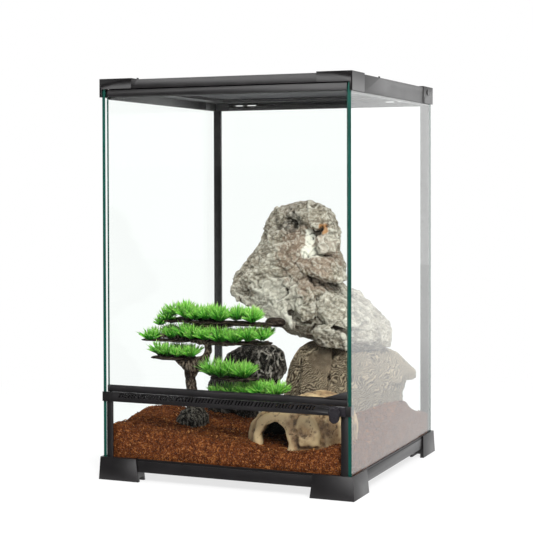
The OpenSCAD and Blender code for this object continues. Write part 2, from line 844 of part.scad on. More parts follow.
module shutter(side) {
    half = inlet_w / 2 + shutter_lap;
    slit_top = rear_web_top + 0.2 + shutter_slit;
    color(plastic_light) translate([side * inlet_x, 0, 0]) {
        block([-half, shutter_in, slit_top], [half, shutter_out, shutter_top]);
        block([-shutter_tongue_w / 2, shutter_in, rear_web_top + gap], [shutter_tongue_w / 2, shutter_out, slit_top]);
    }
}

module inlet_shutter_left() { shutter(-1); }
module inlet_shutter_right() { shutter(1); }

// ---- Landscape ----

// A boulder with a chosen outline in X and Z. Each edge of the outline makes a wedge with the middle point,
// and the outline shrinks towards the front and back, so that the wedges join into one rounded stone. X counts
// from the stone's own middle.
module boulder(outline, middle, depth, ends = 0.5) {
    n = len(outline);
    layers = [[-1, ends], [-0.62, 0.5 + ends * 0.72], [0, 1], [0.6, 0.5 + ends * 0.76], [1, ends * 0.9]];
    for (i = [0 : n - 1]) {
        a = outline[i];
        b = outline[(i + 1) % n];
        hull() for (layer = layers, p = [middle, a, b])
            translate([middle[0] + (p[0] - middle[0]) * layer[1], layer[0] * depth,
                       middle[1] + (p[1] - middle[1]) * layer[1]])
                cube(rock_chip, center = true);
    }
}

// A flat-faced block on a stone. Its face is given by points, and it runs back and inwards towards the stone's
// middle, whose height is given too.
module crag(face, heart) {
    hull() for (p = face) {
        translate(p) cube(rock_chip, center = true);
        translate([0.8 * p[0] - sign(-p[1]) * 8, 4 * sign(p[1]), heart + 0.86 * (p[2] - heart)])
            cube(rock_chip, center = true);
    }
}

// Heights in the landscape count from the top of the floor glass
module on_floor() {
    translate([0, 0, floor_top]) children();
}

module cave_outer() {
    translate([cave_x, cave_y, 0])
        boulder([[-55, 12], [-56, 32], [-49, 52], [-31, 67], [-8, 76], [24, 84], [50, 78], [60, 52], [60, 12]],
                [0, 36], 31, 0.62);
    translate([cave_x, cave_y, 0]) cave_lumps();
}

// The thick lip round the cave's mouth, and two swellings to the right of it
module cave_lumps() {
    lip = [[-41, 14], [-41, 40], [-36, 53], [-22, 62], [-6, 63], [4, 54], [8, 38], [8, 14]];
    hull() for (y = [-33, -19], p = lip)
        translate([p[0], y, p[1]]) cube(rock_chip, center = true);
    crag([[9, -35, 50], [16, -36, 61], [29, -36, 61], [36, -35, 47], [36, -35, 30], [15, -35, 28]], 36);
    crag([[42, -29, 60], [55, -19, 62], [58, -15, 46], [57, -18, 30], [43, -30, 28]], 36);
}

module cave_hollow() {
    k = cave_wall;
    translate([cave_x, cave_y, 0])
        boulder([[k - 55, -10], [k - 55, 30], [k - 47, 50 - k / 2], [-28, 66 - k], [-6, 75 - k], [22, 82 - k],
                 [48 - k, 75 - k], [59 - k, 50], [59 - k, -10]],
                [0, 26], 31 - k, 0.7);
}

module cave_mouth() {
    translate([cave_x, cave_y, 0])
        along_y(-46, 0) polygon([[-32, -10], [-33, 38], [-27, 48], [-15, 54], [-6, 47], [-1, 30], [-2, -10]]);
}

module cave_shell() {
    difference() {
        cave_outer();
        cave_hollow();
        cave_mouth();
    }
}

module brown_boulder() {
    translate([brown_x, brown_y, 0])
        boulder([[-74, 6], [-70, 58], [-62, 92], [-52, 110], [-40, 117], [-14, 119], [16, 112], [50, 113],
                 [66, 106], [76, 97], [90, 85], [89, 78], [78, 78], [73, 58], [70, 6]],
                [0, 60], 38, 0.6);
    translate([brown_x, brown_y, 0]) brown_slabs();
}

// The low stone's flat slabs: three at the front, from left to right, and two at the back
module brown_slabs() {
    crag([[-50, -33, 83], [-39, -31, 108], [-35, -35, 96], [-43, -35, 55], [-55, -31, 54]], 60);
    crag([[-31, -42, 104], [-18, -41, 113], [2, -41, 112], [4, -44, 101], [-5, -44, 62], [-36, -43, 58],
          [-36, -42, 85]], 60);
    crag([[8, -43, 105], [24, -42, 109], [55, -37, 107], [73, -31, 101], [71, -33, 80], [55, -40, 44],
          [21, -44, 36], [-1, -44, 62]], 60);
    crag([[-50, 38, 95], [-10, 39, 108], [-8, 40, 60], [-52, 38, 50]], 60);
    crag([[2, 39, 108], [54, 38, 103], [60, 37, 60], [4, 40, 50]], 60);
}

module upper_boulder() {
    translate([upper_x, upper_y, 0])
        boulder([[-36, 278], [-28, 284], [-12, 286], [2, 292], [17, 292], [33, 286], [38, 272], [49, 255],
                 [49, 232], [58, 208], [48, 190], [70, 172], [91, 161], [104, 148], [116, 136], [114, 117],
                 [84, 108], [42, 114], [18, 122], [-10, 127], [-23, 136], [-45, 155], [-71, 163],
                 [-91, 174], [-92, 181], [-87, 194], [-69, 216], [-50, 243], [-42, 260]],
                [0, 205], 44, 0.5);
}

// The tall stone's broken faces: first those at the front, from the top down, and then those at the back
module upper_crags() {
    crag([[14, -38, 290], [37, -40, 290], [49, -36, 282], [54, -36, 267], [40, -45, 260], [24, -46, 270],
          [13, -42, 279]], 205);
    crag([[-24, -24, 283], [-12, -28, 285], [-8, -36, 272], [-17, -38, 260], [-29, -30, 262]], 205);
    crag([[50, -42, 261], [62, -36, 257], [65, -34, 243], [60, -38, 232], [46, -49, 232], [42, -47, 247]], 205);
    crag([[-25, -40, 252], [-3, -45, 259], [14, -47, 248], [19, -49, 228], [6, -48, 211], [-15, -46, 218]], 205);
    crag([[16, -45, 219], [40, -50, 226], [60, -44, 224], [74, -36, 201], [68, -42, 195], [40, -53, 207],
          [26, -51, 206]], 205);
    crag([[-31, -35, 243], [-19, -40, 219], [-33, -41, 191], [-68, -28, 195], [-49, -31, 225]], 205);
    crag([[-80, -20, 189], [-66, -30, 191], [-60, -34, 178], [-70, -28, 169], [-83, -17, 175]], 205);
    crag([[-63, -32, 170], [-33, -44, 186], [-3, -47, 173], [9, -46, 140], [-16, -40, 146], [-42, -35, 158]], 205);
    crag([[19, -52, 184], [34, -54, 190], [39, -50, 174], [37, -49, 153], [24, -51, 148], [16, -52, 167]], 205);
    crag([[47, -46, 184], [72, -38, 175], [98, -30, 150], [78, -42, 141], [55, -47, 145], [46, -46, 162]], 205);
    crag([[34, -47, 136], [55, -51, 142], [76, -49, 133], [78, -44, 117], [44, -43, 122]], 205);
    crag([[-40, 40, 240], [8, 46, 262], [28, 41, 230], [0, 48, 202], [-44, 42, 206]], 205);
    crag([[12, 43, 190], [60, 46, 178], [86, 38, 150], [42, 47, 140], [8, 45, 160]], 205);
    crag([[-78, 32, 190], [-40, 44, 195], [-18, 47, 166], [-50, 39, 159]], 205);
    crag([[-8, 34, 284], [28, 37, 283], [40, 41, 252], [14, 45, 242], [-18, 38, 258]], 205);
}

// Wedges that are broken out of the tall stone: a hollow near the top, two upright cracks, and the undercut
// below the nose
module upper_cracks() {
    hull() {
        for (p = [[-15, 277], [10, 283], [21, 267], [19, 250], [4, 256], [-11, 263]])
            translate([p[0], -60, p[1]]) cube(rock_chip, center = true);
        for (p = [[-4, 272], [10, 270], [10, 260]]) translate([p[0], -24, p[1]]) cube(rock_chip, center = true);
    }
    for (crack = [[[40, 190], [46, 186], [46, 154], [42, 150], [42, 170]],
                  [[-5, 199], [1, 196], [12, 176], [6, 174], [3, 186]],
                  [[30, 202], [76, 196], [72, 189], [38, 192], [56, 195]]])
        hull() {
            for (k = [0 : 3]) translate([crack[k][0], -60, crack[k][1]]) cube(rock_chip, center = true);
            translate([crack[4][0] - 5, -34, crack[4][1]]) cube(rock_chip, center = true);
        }
}

// The tall stone before the low one is taken out of it
module upper_stone() {
    difference() {
        union() {
            upper_boulder();
            translate([upper_x, upper_y, 0]) upper_crags();
        }
        translate([upper_x, upper_y, 0]) upper_cracks();
    }
}

module dark_boulder() {
    translate([dark_x, dark_y, 0])
        boulder([[-47, 8], [-48, 70], [-38, 84], [-26, 96], [-20, 109], [-5, 118], [14, 122], [32, 119],
                 [46, 111], [49, 90], [43, 72], [38, 8]],
                [0, 62], 26, 0.55);
}

module tree_boulder() {
    translate([tree_x, tree_y, 0])
        boulder([[-19, 18], [-17, 42], [-9, 56], [7, 59], [16, 46], [18, 18]], [0, 36], 16, 0.6);
}

// Height of the soil over the floor glass: a mean depth, mounds at the tree, the front, the left corner, the back
// and the right pane, a hollow in front of the cave, and two waves across it
function bump(x, y, cx, cy, s) = exp(-(pow(x - cx, 2) + pow(y - cy, 2)) / (2 * s * s));
function soil_z(x, y) =
    soil_depth + 20 * bump(x, y, tree_x - 49, tree_y + 25, 34) + 6 * bump(x, y, tree_x + 9, tree_y - 45, 60)
    + 7 * bump(x, y, -glass_in_x, 16 - glass_in_y, 24)
    + 1.3 * sin(4.2 * x + 30) * sin(5.1 * y + 60) + 0.9 * sin(11 * x) * sin(9.5 * y + 20)
    + soil_mound * bump(x, y, glass_in_x - 4, dark_y + 2, 40) + 9 * bump(x, y, glass_in_x - 4, 19 - glass_in_y, 22)
    - 8 * bump(x, y, cave_x + 6, cave_y - 26, 38) + 7 * bump(x, y, dark_x + 10, dark_y + 40, 60);

// The soil as one closed surface: a grid of heights on top, the same grid at zero below
module soil_body() {
    n = soil_steps;
    xs = [for (i = [0 : n]) soil_left + (soil_right - soil_left) * i / n];
    ys = [for (j = [0 : n]) soil_front + (soil_back - soil_front) * j / n];
    count = (n + 1) * (n + 1);
    points = concat(
        [for (i = [0 : n], j = [0 : n]) [xs[i], ys[j], soil_z(xs[i], ys[j])]],
        [for (i = [0 : n], j = [0 : n]) [xs[i], ys[j], 0]]);
    function at(i, j, low) = low * count + i * (n + 1) + j;
    faces = concat(
        [for (i = [0 : n - 1], j = [0 : n - 1]) [at(i, j, 0), at(i, j + 1, 0), at(i + 1, j + 1, 0)]],
        [for (i = [0 : n - 1], j = [0 : n - 1]) [at(i, j, 0), at(i + 1, j + 1, 0), at(i + 1, j, 0)]],
        [for (i = [0 : n - 1], j = [0 : n - 1])
            [at(i, j, 1), at(i + 1, j, 1), at(i + 1, j + 1, 1), at(i, j + 1, 1)]],
        [for (i = [0 : n - 1]) [at(i, 0, 0), at(i + 1, 0, 0), at(i + 1, 0, 1), at(i, 0, 1)]],
        [for (i = [0 : n - 1]) [at(i + 1, n, 0), at(i, n, 0), at(i, n, 1), at(i + 1, n, 1)]],
        [for (j = [0 : n - 1]) [at(0, j + 1, 0), at(0, j, 0), at(0, j, 1), at(0, j + 1, 1)]],
        [for (j = [0 : n - 1]) [at(n, j, 0), at(n, j + 1, 0), at(n, j + 1, 1), at(n, j, 1)]]);
    polyhedron(points, faces, convexity = 4);
}

module soil() {
    post_x = glass_in_x - rear_post_w;
    color(soil_colour) on_floor() difference() {
        soil_body();
        cave_shell();
        brown_boulder();
        dark_boulder();
        tree_boulder();
        for (s = [-1, 1])
            block([s > 0 ? post_x : -glass_in_x, glass_in_y - glass_t, -cut],
                  [s > 0 ? glass_in_x : -post_x, glass_in_y, 3 * soil_depth]);
    }
}

module cave_hide() {
    color(cave_colour) on_floor() union() cave_shell();
}

module brown_rock() { color(brown_rock_colour) on_floor() brown_boulder(); }

module upper_rock() {
    color(grey_rock_colour) on_floor() difference() {
        upper_stone();
        brown_boulder();
    }
}

module dark_rock() { color(dark_rock_colour) on_floor() dark_boulder(); }

module tree_rock() { color(dark_rock_colour) on_floor() tree_boulder(); }

// A limb that tapers along its points, each given as x, y, z and thickness
module limb(points) {
    for (i = [0 : len(points) - 2])
        hull() for (p = [points[i], points[i + 1]])
            translate([p[0], p[1], p[2]]) sphere(d = p[3], $fn = 14);
}

module tree_limbs() {
    translate([tree_x, tree_y, 0]) limbs_about_trunk();
}

// The limbs, about the middle of the tree's foot
module limbs_about_trunk() {
    t = trunk_d;
    limb([[0, 0, 50, t * 1.15], [-1, 0, 76, t], [-4, 0, 92, t], [-2, 0, 102, t * 1.2],
          [5, 0, 106, t], [15, 0, 112, t * 0.85], [20, 0, 122, t * 0.7], [19, 0, 134, t * 0.7],
          [23, 0, 150, t * 0.5], [39, 0, 156, t * 0.4]]);
    limb([[-3, 0, 102, t], [-19, -2, 113, t * 0.55], [-35, -4, 114, t * 0.4], [-43, -4, 117, t * 0.3]]);
    limb([[11, 0, 104, t * 0.7], [25, -4, 97, t * 0.4], [47, -4, 92, t * 0.35], [73, -4, 90, t * 0.25]]);
    limb([[19, 0, 132, t * 0.6], [-11, -2, 136, t * 0.4], [-53, -4, 139, t * 0.3]]);
    limb([[19, 0, 132, t * 0.6], [49, 0, 132, t * 0.4], [93, 2, 135, t * 0.3]]);
    limb([[23, 0, 150, t * 0.5], [-5, 0, 156, t * 0.4], [-31, 0, 158, t * 0.3]]);
    limb([[25, 0, 150, t * 0.5], [59, 0, 155, t * 0.4], [96, 2, 154, t * 0.4]]);
    limb([[1, 0, 58, t * 0.7], [19, 8, 68, t * 0.6], [49, 10, 72, t * 0.5], [99, 10, 74, t * 0.3]]);
}

module bonsai_trunk() {
    color(bark_colour) on_floor() difference() {
        tree_limbs();
        tree_boulder();
    }
}

// A cloud of leaves: a low dome over its own outline
module leaf_pad(x0, x1, y_mid, half_y, z0, h) {
    r = half_y;
    mid = (x0 + x1) / 2;
    run = (x1 - x0) / 2 - r;
    hull() {
        for (s = [-1, 1])
            translate([mid + s * run, y_mid, z0]) {
                cylinder(r1 = r * 0.7, r2 = r, h = h * 0.35, $fn = 24);
                translate([0, 0, h * 0.35]) cylinder(r1 = r, r2 = r * 0.72, h = h * 0.65, $fn = 24);
            }
    }
}

// Leaves round the limbs, and clear of any stone given as a child
module foliage(x0, x1, y_mid, half_y, z0, h) {
    color(leaf_colour) on_floor() difference() {
        translate([tree_x, tree_y, 0]) leaf_pad(x0, x1, y_mid, half_y, z0, h);
        tree_limbs();
        children();
    }
}

module foliage_top() { foliage(-39, 92, 0, 29, 154, 26); }
module foliage_middle() { foliage(-62, 101, 0, 33, 132, 21); }
module foliage_left() { foliage(-50, 9, -4, 22, 114, 17); }
module foliage_right() { foliage(19, 85, -6, 22, 92, 24); }
module foliage_low() { foliage(24, 117, 12, 22, 71, 20) cave_outer(); }

// ---- Assembly ----

base_front_rail();
base_rear_rail();
base_left_rail();
base_right_rail();
foot_front_left();
foot_front_right();
foot_rear_left();
foot_rear_right();
floor_glass();
left_glass();
right_glass();
rear_glass();
lower_front_glass();
base_seal();
front_left_post();
front_right_post();
rear_left_post();
rear_right_post();
vent_bar();
vent_screen();
latch_plate();
latch_knob();
latch_spindle();
latch_clip();
door_glass();
door_top_rail();
door_bottom_rail();
door_pull();
door_pivot_pins();
top_front_rail();
top_rear_rail();
top_left_rail();
top_right_rail();
cap_front_left();
cap_front_right();
cap_rear_left();
cap_rear_right();
cap_plugs();
lid_frame();
lid_mesh();
lid_bolt_left();
lid_bolt_right();
inlet_shutter_left();
inlet_shutter_right();
soil();
cave_hide();
brown_rock();
upper_rock();
dark_rock();
tree_rock();
bonsai_trunk();
foliage_top();
foliage_middle();
foliage_left();
foliage_right();
foliage_low();
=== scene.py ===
import json
import math

import bmesh
import bpy
import numpy as np
from bpy.props import FloatProperty, FloatVectorProperty, IntProperty, PointerProperty
from mathutils import Matrix, Vector

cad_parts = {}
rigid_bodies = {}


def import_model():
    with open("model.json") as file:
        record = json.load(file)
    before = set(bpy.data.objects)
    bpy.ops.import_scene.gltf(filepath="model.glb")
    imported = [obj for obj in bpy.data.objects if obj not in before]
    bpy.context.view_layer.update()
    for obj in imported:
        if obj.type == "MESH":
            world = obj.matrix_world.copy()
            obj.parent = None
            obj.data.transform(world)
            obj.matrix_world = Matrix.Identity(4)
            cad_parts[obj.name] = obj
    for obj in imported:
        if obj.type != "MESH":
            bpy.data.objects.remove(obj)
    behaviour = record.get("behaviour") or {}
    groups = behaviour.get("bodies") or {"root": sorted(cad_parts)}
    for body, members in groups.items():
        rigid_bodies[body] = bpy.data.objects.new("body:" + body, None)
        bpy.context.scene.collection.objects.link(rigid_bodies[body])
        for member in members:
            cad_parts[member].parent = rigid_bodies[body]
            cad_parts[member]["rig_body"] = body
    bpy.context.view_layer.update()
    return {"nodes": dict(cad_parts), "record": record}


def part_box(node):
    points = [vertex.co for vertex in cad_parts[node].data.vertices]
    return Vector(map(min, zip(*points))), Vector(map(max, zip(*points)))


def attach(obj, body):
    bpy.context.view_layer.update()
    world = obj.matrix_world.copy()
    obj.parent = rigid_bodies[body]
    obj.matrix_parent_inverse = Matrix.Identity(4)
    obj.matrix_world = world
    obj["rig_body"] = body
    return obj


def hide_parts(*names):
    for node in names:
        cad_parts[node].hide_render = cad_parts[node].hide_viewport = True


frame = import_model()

bl_info = {
    "name": "Glass Terrarium Looks",
    "version": (1, 0, 0),
    "blender": (4, 5, 0),
    "location": "View3D > Sidebar > Terrarium",
    "description": "Panes, mouldings, soil, stones and a small tree for a glass terrarium",
    "category": "Add Mesh",
}

MM = 0.001
NODES = frame["nodes"]
NODE_SLOT = {part["node"]: part["material_slot"] for part in frame["record"]["subparts"]}
FLOOR_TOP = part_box("floor_glass")[1].z / MM  # heights in the landscape count from here
CORNERS = np.array(list(np.ndindex(2, 2, 2))) * 2 - 1  # the signs of a box's eight corners
TRIANGLE = np.radians([90, 210, 330])  # a wire's, fibre's or leaf's cross-section


# ---- Colour and material helpers ----

def linear(code):
    """An sRGB hex colour as linear red, green, blue and a full alpha."""
    channels = [int(code[i:i + 2], 16) / 255 for i in (1, 3, 5)]
    return tuple(c / 12.92 if c <= 0.04045 else ((c + 0.055) / 1.055) ** 2.4 for c in channels) + (1.0,)


def colour(name):
    """A colour from its hex code, or from its name in the sidebar."""
    if name.startswith("#"):
        return linear(name)
    return tuple(getattr(bpy.context.scene.terrarium_colours, name)) + (1.0,)


def add(tree, kind, settings=None):
    """Adds a node. Settings are its properties, its sockets' values or colours, or what feeds them."""
    node = tree.nodes.new("ShaderNode" + kind)
    for key, value in (settings or {}).items():
        if isinstance(key, str) and hasattr(node, key):
            setattr(node, key, value)
        elif isinstance(value, bpy.types.NodeSocket):
            tree.links.new(value, node.inputs[key])
        else:
            node.inputs[key].default_value = colour(value) if isinstance(value, str) else value
    return node


def compute(tree, operation, *values):
    """The result of a sum, product, comparison or the like."""
    return add(tree, "Math", {"operation": operation, **dict(enumerate(values))}).outputs[0]


def ranged(tree, value, start, end, kind="LINEAR"):
    """Takes a value's range, start, over to another one, end, and holds it at their ends."""
    return add(tree, "MapRange", {
        "interpolation_type": kind, "Value": value, "From Min": start[0], "From Max": start[1],
        "To Min": end[0], "To Max": end[1]}).outputs[0]


def mixed(tree, factor, first, second):
    """One number where factor is 0 and the other where it is 1."""
    return add(tree, "Mix", {0: factor, 2: first, 3: second}).outputs[0]


def blended(tree, factor, first, second):
    """One colour where factor is 0 and the other where it is 1."""
    return add(tree, "Mix", {"data_type": "RGBA", 0: factor, 6: first, 7: second}).outputs[2]


def graded(tree, factor, *stops):
    """A run of colours along a factor: each stop is a place from 0 to 1 and its colour."""
    node = add(tree, "ValToRGB", {"Fac": factor})
    elements = node.color_ramp.elements
    elements.remove(elements[1])
    for number, (position, shade) in enumerate(stops):
        stop = elements.new(position) if number else elements[0]
        stop.position = position
        stop.color = colour(shade)
    return node.outputs["Color"]


def stored(tree, name):
    """The value of that name that the mesh keeps at its points."""
    return add(tree, "Attribute", {"attribute_name": name}).outputs["Fac"]


def painted_light_and_marks(tree, shade, **layers):
    """Lays colours over a shade, each where the stored value of its name is high: mostly painted shade in
    hollows and painted highlights on crests, besides some real patches of colour.
    """
    for name, code in layers.items():
        shade = blended(tree, stored(tree, name), shade, code)
    return shade


def spots(tree, place, size, detail=3.0, roughness=0.55, distortion=0.0):
    """Cloudy noise, from 0 to 1, whose patches are about size millimetres across."""
    return add(tree, "TexNoise", {
        "Vector": place, "Scale": 1 / (size * MM), "Detail": detail, "Roughness": roughness,
        "Distortion": distortion}).outputs["Fac"]


def drawn_out(tree, place, scale, tilt=0.0):
    """A place whose pattern is drawn out along the axes of a small scale, and tilted about Y by radians."""
    return add(tree, "Mapping", {
        "Vector": place, "Rotation": (0.0, tilt, 0.0), "Scale": scale}).outputs["Vector"]


def shader_mix(tree, factor, first, second):
    """One shader where factor is 0 and the other where it is 1."""
    return add(tree, "MixShader", {0: factor, 1: first, 2: second}).outputs[0]


def finish(tree, shade, roughness, bump=None, **sockets):
    """The material's surface. A bump is its height, its strength and its depth in millimetres."""
    if bump:
        height, strength, depth = bump
        sockets["Normal"] = add(tree, "Bump", {
            "Height": height, "Strength": strength, "Distance": depth * MM}).outputs["Normal"]
    surface = add(tree, "BsdfPrincipled", {"Base Color": shade, "Roughness": roughness, **sockets})
    add(tree, "OutputMaterial", {"Surface": surface.outputs[0]})


# ---- Shape helpers ----

def lattice(ix, iy, iz, seed):
    """A fixed value from 0 to 1 for each whole lattice point: its indices are mixed by large factors."""
    mash = (ix * 374761393 + iy * 668265263 + iz * 1103515245 + seed * 1274126177) & 0xFFFFFFFF
    mash = ((mash ^ (mash >> 13)) * 1274126177) & 0xFFFFFFFF
    return (mash ^ (mash >> 16)) / 4294967295


def soft_noise(points, size, seed):
    """Noise from -1 to 1: the values at the corners of cubes of that size, blended by 3t^2 - 2t^3."""
    scaled = points / size
    cell = np.floor(scaled).astype(np.int64)
    t = scaled - cell
    t = t * t * (3 - 2 * t)
    total = np.zeros(len(points))
    for corner in np.ndindex(2, 2, 2):
        weight = np.prod(np.where(np.array(corner) == 1, t, 1 - t), axis=1)
        total += weight * lattice(*(cell + corner).T, seed)
    return 2 * total - 1


def rough_noise(points, size, octaves, seed):
    """A sum of soft noises, each half the size and half the height of the one before."""
    return sum(soft_noise(points, size / 2 ** k, seed + k) / 2 ** k for k in range(octaves))


def ridges(points, size, octaves, seed):
    """1 along the winding lines where rough noise is 0, and lower away from them: 1 - 2|noise|."""
    return 1 - 2 * np.abs(rough_noise(points, size, octaves, seed))


def bent(points, reach, size, octaves, seed):
    """The points pushed about by three rough noises, one along each axis, by reach millimetres."""
    return points + reach * np.stack([rough_noise(points, size, octaves, seed + k) for k in range(3)], axis=1)


def broken_faces(points, size, seed):
    """Space is cut into cells round jittered lattice points, and each cell gets one tilted plane.

    Gives the plane's height at each point, from about -1 to 1, and the distance to the cell's border."""
    scaled = points / size
    cell = np.floor(scaled).astype(np.int64)
    nearest = np.full(len(points), 9.0)
    second = np.full(len(points), 9.0)
    height = np.zeros(len(points))
    for step in np.ndindex(3, 3, 3):
        at = cell + step - 1
        centre = at + np.stack([lattice(*at.T, seed + k) for k in range(3)], axis=1)
        tilt = np.stack([lattice(*at.T, seed + 5 + k) for k in range(3)], axis=1) - 0.5
        away = scaled - centre
        distance = np.linalg.norm(away, axis=1)
        closer = distance < nearest
        second = np.where(closer, nearest, np.minimum(second, distance))
        height = np.where(closer, (away * tilt).sum(axis=1) * 2, height)
        nearest = np.where(closer, distance, nearest)
    return height, (second - nearest) * size


def xyz(x, y, z):
    """Three arrays of numbers as one array of points."""
    return np.stack([x, y, z], axis=-1)


def unit(vectors):
    """Vectors, one in each row, brought to a length of one."""
    return vectors / np.linalg.norm(vectors, axis=1, keepdims=True)


def smooth_step(low, high, value):
    """0 below low, 1 above high, and 3t^2 - 2t^3 between them."""
    t = np.clip((value - low) / (high - low), 0, 1)
    return t * t * (3 - 2 * t)


def grid_faces(rows, columns, wrap=False):
    """The quads of a grid of points that is stored row by row; with wrap, the last column meets the first."""
    r, c = np.meshgrid(np.arange(rows - 1), np.arange(columns if wrap else columns - 1), indexing="ij")
    here, right = r.ravel() * columns, (c.ravel() + 1) % columns
    c = c.ravel()
    return np.stack([here + c, here + right, here + columns + right, here + columns + c], axis=1)


def repeated(points, faces):
    """Each row of points as one copy of a shape, with the shape's faces for every copy."""
    start = np.arange(len(points))[:, None, None] * points.shape[1]
    return points.reshape(-1, 3), (faces[None] + start).reshape(-1, faces.shape[1])


def tube_points(line, side, over):
    """A triangle carried along lines. Side and over are its reach across a line and up from it; the cross
    product of side and the way along points like over."""
    return (line[..., None, :] + np.cos(TRIANGLE)[:, None] * side[..., None, :]
            + np.sin(TRIANGLE)[:, None] * over[..., None, :])


def tube_faces(rings):
    """The faces of such a tube, outwards, with both of its ends capped."""
    last = 3 * rings - 1
    caps = np.array([[0, 1, 2, 2], [last, last - 1, last - 2, last - 2]])
    return np.concatenate([grid_faces(rings, 3, wrap=True)[:, ::-1], caps])


def join_shapes(shapes):
    """Many (points, faces) as one pair."""
    counts = np.cumsum([0] + [len(points) for points, _ in shapes])
    return (np.concatenate([points for points, _ in shapes]),
            np.concatenate([faces + start for (_, faces), start in zip(shapes, counts)]))


def box_of(node):
    """The low and high corner of a CAD node's box, in millimetres."""
    return [np.array(corner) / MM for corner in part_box(node)]


def with_settings(item, **settings):
    """Sets properties of something in Blender, and hands it back."""
    for key, value in settings.items():
        setattr(item, key, value)
    return item


def place_object(name, data):
    """An object in the scene, at the origin, for a mesh, a lamp or a camera."""
    item = bpy.data.objects.new(name, data)
    bpy.context.scene.collection.objects.link(item)
    return item


def store_values(mesh, values):
    """Keeps named values at a mesh's points, for its material to read."""
    for key, numbers in values.items():
        mesh.attributes.new(key, "FLOAT", "POINT").data.foreach_set("value", numbers.astype(np.float32))


def new_piece(name, points, faces, materials, face_material=None, values=None, smooth=True):
    """A mesh object from arrays: points in millimetres, quads and triangles (a repeated last index)."""
    mesh = bpy.data.meshes.new(name)
    sizes = np.where(faces[:, 2] == faces[:, -1], 3, 4)
    corners = faces[np.arange(4)[None, :] < sizes[:, None]]
    mesh.vertices.add(len(points))
    mesh.loops.add(len(corners))
    mesh.polygons.add(len(faces))
    mesh.vertices.foreach_set("co", (points * MM).astype(np.float32).ravel())
    mesh.loops.foreach_set("vertex_index", corners.astype(np.int32))
    mesh.polygons.foreach_set("loop_start", (np.cumsum(sizes) - sizes).astype(np.int32))
    mesh.polygons.foreach_set("use_smooth", np.full(len(faces), smooth))
    for material in materials:
        mesh.materials.append(material)
    if face_material is not None:
        mesh.polygons.foreach_set("material_index", face_material.astype(np.int32))
    store_values(mesh, values or {})
    mesh.update(calc_edges=True)
    mesh.validate()
    return place_object(name, mesh)


def settle(piece, node):
    """Lets a piece stand for a CAD node: it rides on the node's body, and the node is hidden."""
    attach(piece, NODES[node]["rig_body"])
    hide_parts(node)


def reworked(mesh, *steps):
    """Puts a mesh through steps of editing that each take it in Blender's editing form."""
    for step in steps:
        work = bmesh.new()
        work.from_mesh(mesh)
        step(work)
        work.to_mesh(mesh)
        work.free()
    return mesh


def join_loose(work):
    """Joins the loose triangles of a CAD mesh."""
    bmesh.ops.remove_doubles(work, verts=work.verts, dist=1e-6)


def join_flat(work):
    """Joins up flat faces, and cuts the many-sided ones anew."""
    bmesh.ops.dissolve_limit(work, angle_limit=math.radians(0.5), verts=work.verts, edges=work.edges)
    bmesh.ops.triangulate(work, faces=[face for face in work.faces if len(face.verts) > 4])


def copy_of(node, *steps):
    """A copy of a CAD node's mesh, joined and put through more steps, without a material."""
    mesh = reworked(NODES[node].data.copy(), join_loose, *steps)
    mesh.materials.clear()
    return mesh


def read_vectors(items, key):
    """The vectors of a mesh's items as the rows of an array."""
    numbers = np.empty(len(items) * 3, np.float32)
    items.foreach_get(key, numbers)
    return numbers.reshape(-1, 3).astype(float)


class Skin:
    """A CAD solid's copy under one even skin of small quads, rounded off, to be carved by formulas.

    Its points are in millimetres, and each one has a normal."""

    def __init__(self, node, name, voxel, rounding):
        self.node = node
        self.piece = place_object(name, copy_of(node))
        with_settings(self.piece.modifiers.new("Skin", "REMESH"), mode="VOXEL", voxel_size=voxel * MM)
        with_settings(self.piece.modifiers.new("Soften", "SMOOTH"), factor=0.6, iterations=rounding)
        ready = self.piece.evaluated_get(bpy.context.evaluated_depsgraph_get())
        mesh = bpy.data.meshes.new_from_object(ready)
        self.piece.modifiers.clear()
        self.piece.data = mesh
        self.points = read_vectors(mesh.vertices, "co") / MM
        self.normals = read_vectors(mesh.vertex_normals, "vector")

    def carve(self, lift):
        """Moves each point along its normal by lift millimetres."""
        mesh = self.piece.data
        self.points = self.points + self.normals * lift[:, None]
        mesh.vertices.foreach_set("co", (self.points * MM).astype(np.float32).ravel())
        mesh.shade_smooth()
        mesh.update()
        self.normals = read_vectors(mesh.vertex_normals, "vector")

    def sunken(self, rounds):
        """How far each point lies under its surroundings, in millimetres: its place against the mean of its
        neighbours, taken over and over. Crests come out below zero."""
        ends = np.empty(len(self.piece.data.edges) * 2, np.int32)
        self.piece.data.edges.foreach_get("vertices", ends)
        one, other = ends.reshape(-1, 2).T
        count = len(self.points)
        meets = np.maximum(np.bincount(ends, minlength=count), 1)
        level = self.points
        for _ in range(rounds):
            level = np.stack([
                (np.bincount(one, part[other], count) + np.bincount(other, part[one], count)) / meets
                for part in level.T], axis=1)
        return ((level - self.points) * self.normals).sum(axis=1)

    def dress_in(self, material, **values):
        """Keeps values from 0 to 1 for the material to read, most of them painted shade and painted
        highlights, sets that material, and settles the piece.
        """
        store_values(self.piece.data, {key: np.clip(numbers, 0, 1) for key, numbers in values.items()})
        self.piece.data.materials.clear()
        self.piece.data.materials.append(finish_of(material))
        settle(self.piece, self.node)


# ---- Finishes ----

def moulded_abs(tree, place):
    """ABS, injection moulded in a spark-eroded tool: near black, with a dull sheen broken by a fine grain."""
    grain = spots(tree, place, 0.9, 2.0)  # the real grain is 0.2 mm; this is as coarse as it needs to show
    haze = spots(tree, place, 24, 4.0)
    dull = ranged(tree, haze, (0.0, 1.0), (0.28, 0.38))
    finish(tree, graded(tree, haze, (0.35, "#100e0f"), (0.7, "#191618")), dull, (grain, 0.18, 0.25), IOR=1.53)


def polished_abs(tree, place):
    """ABS from a polished tool, on the latch: black with a clear, slightly wavy gloss."""
    wave = spots(tree, place, 7, 1.0)
    finish(tree, blended(tree, wave, "#1a181b", "#2a272c"), 0.17, (wave, 0.1, 0.4), IOR=1.53)


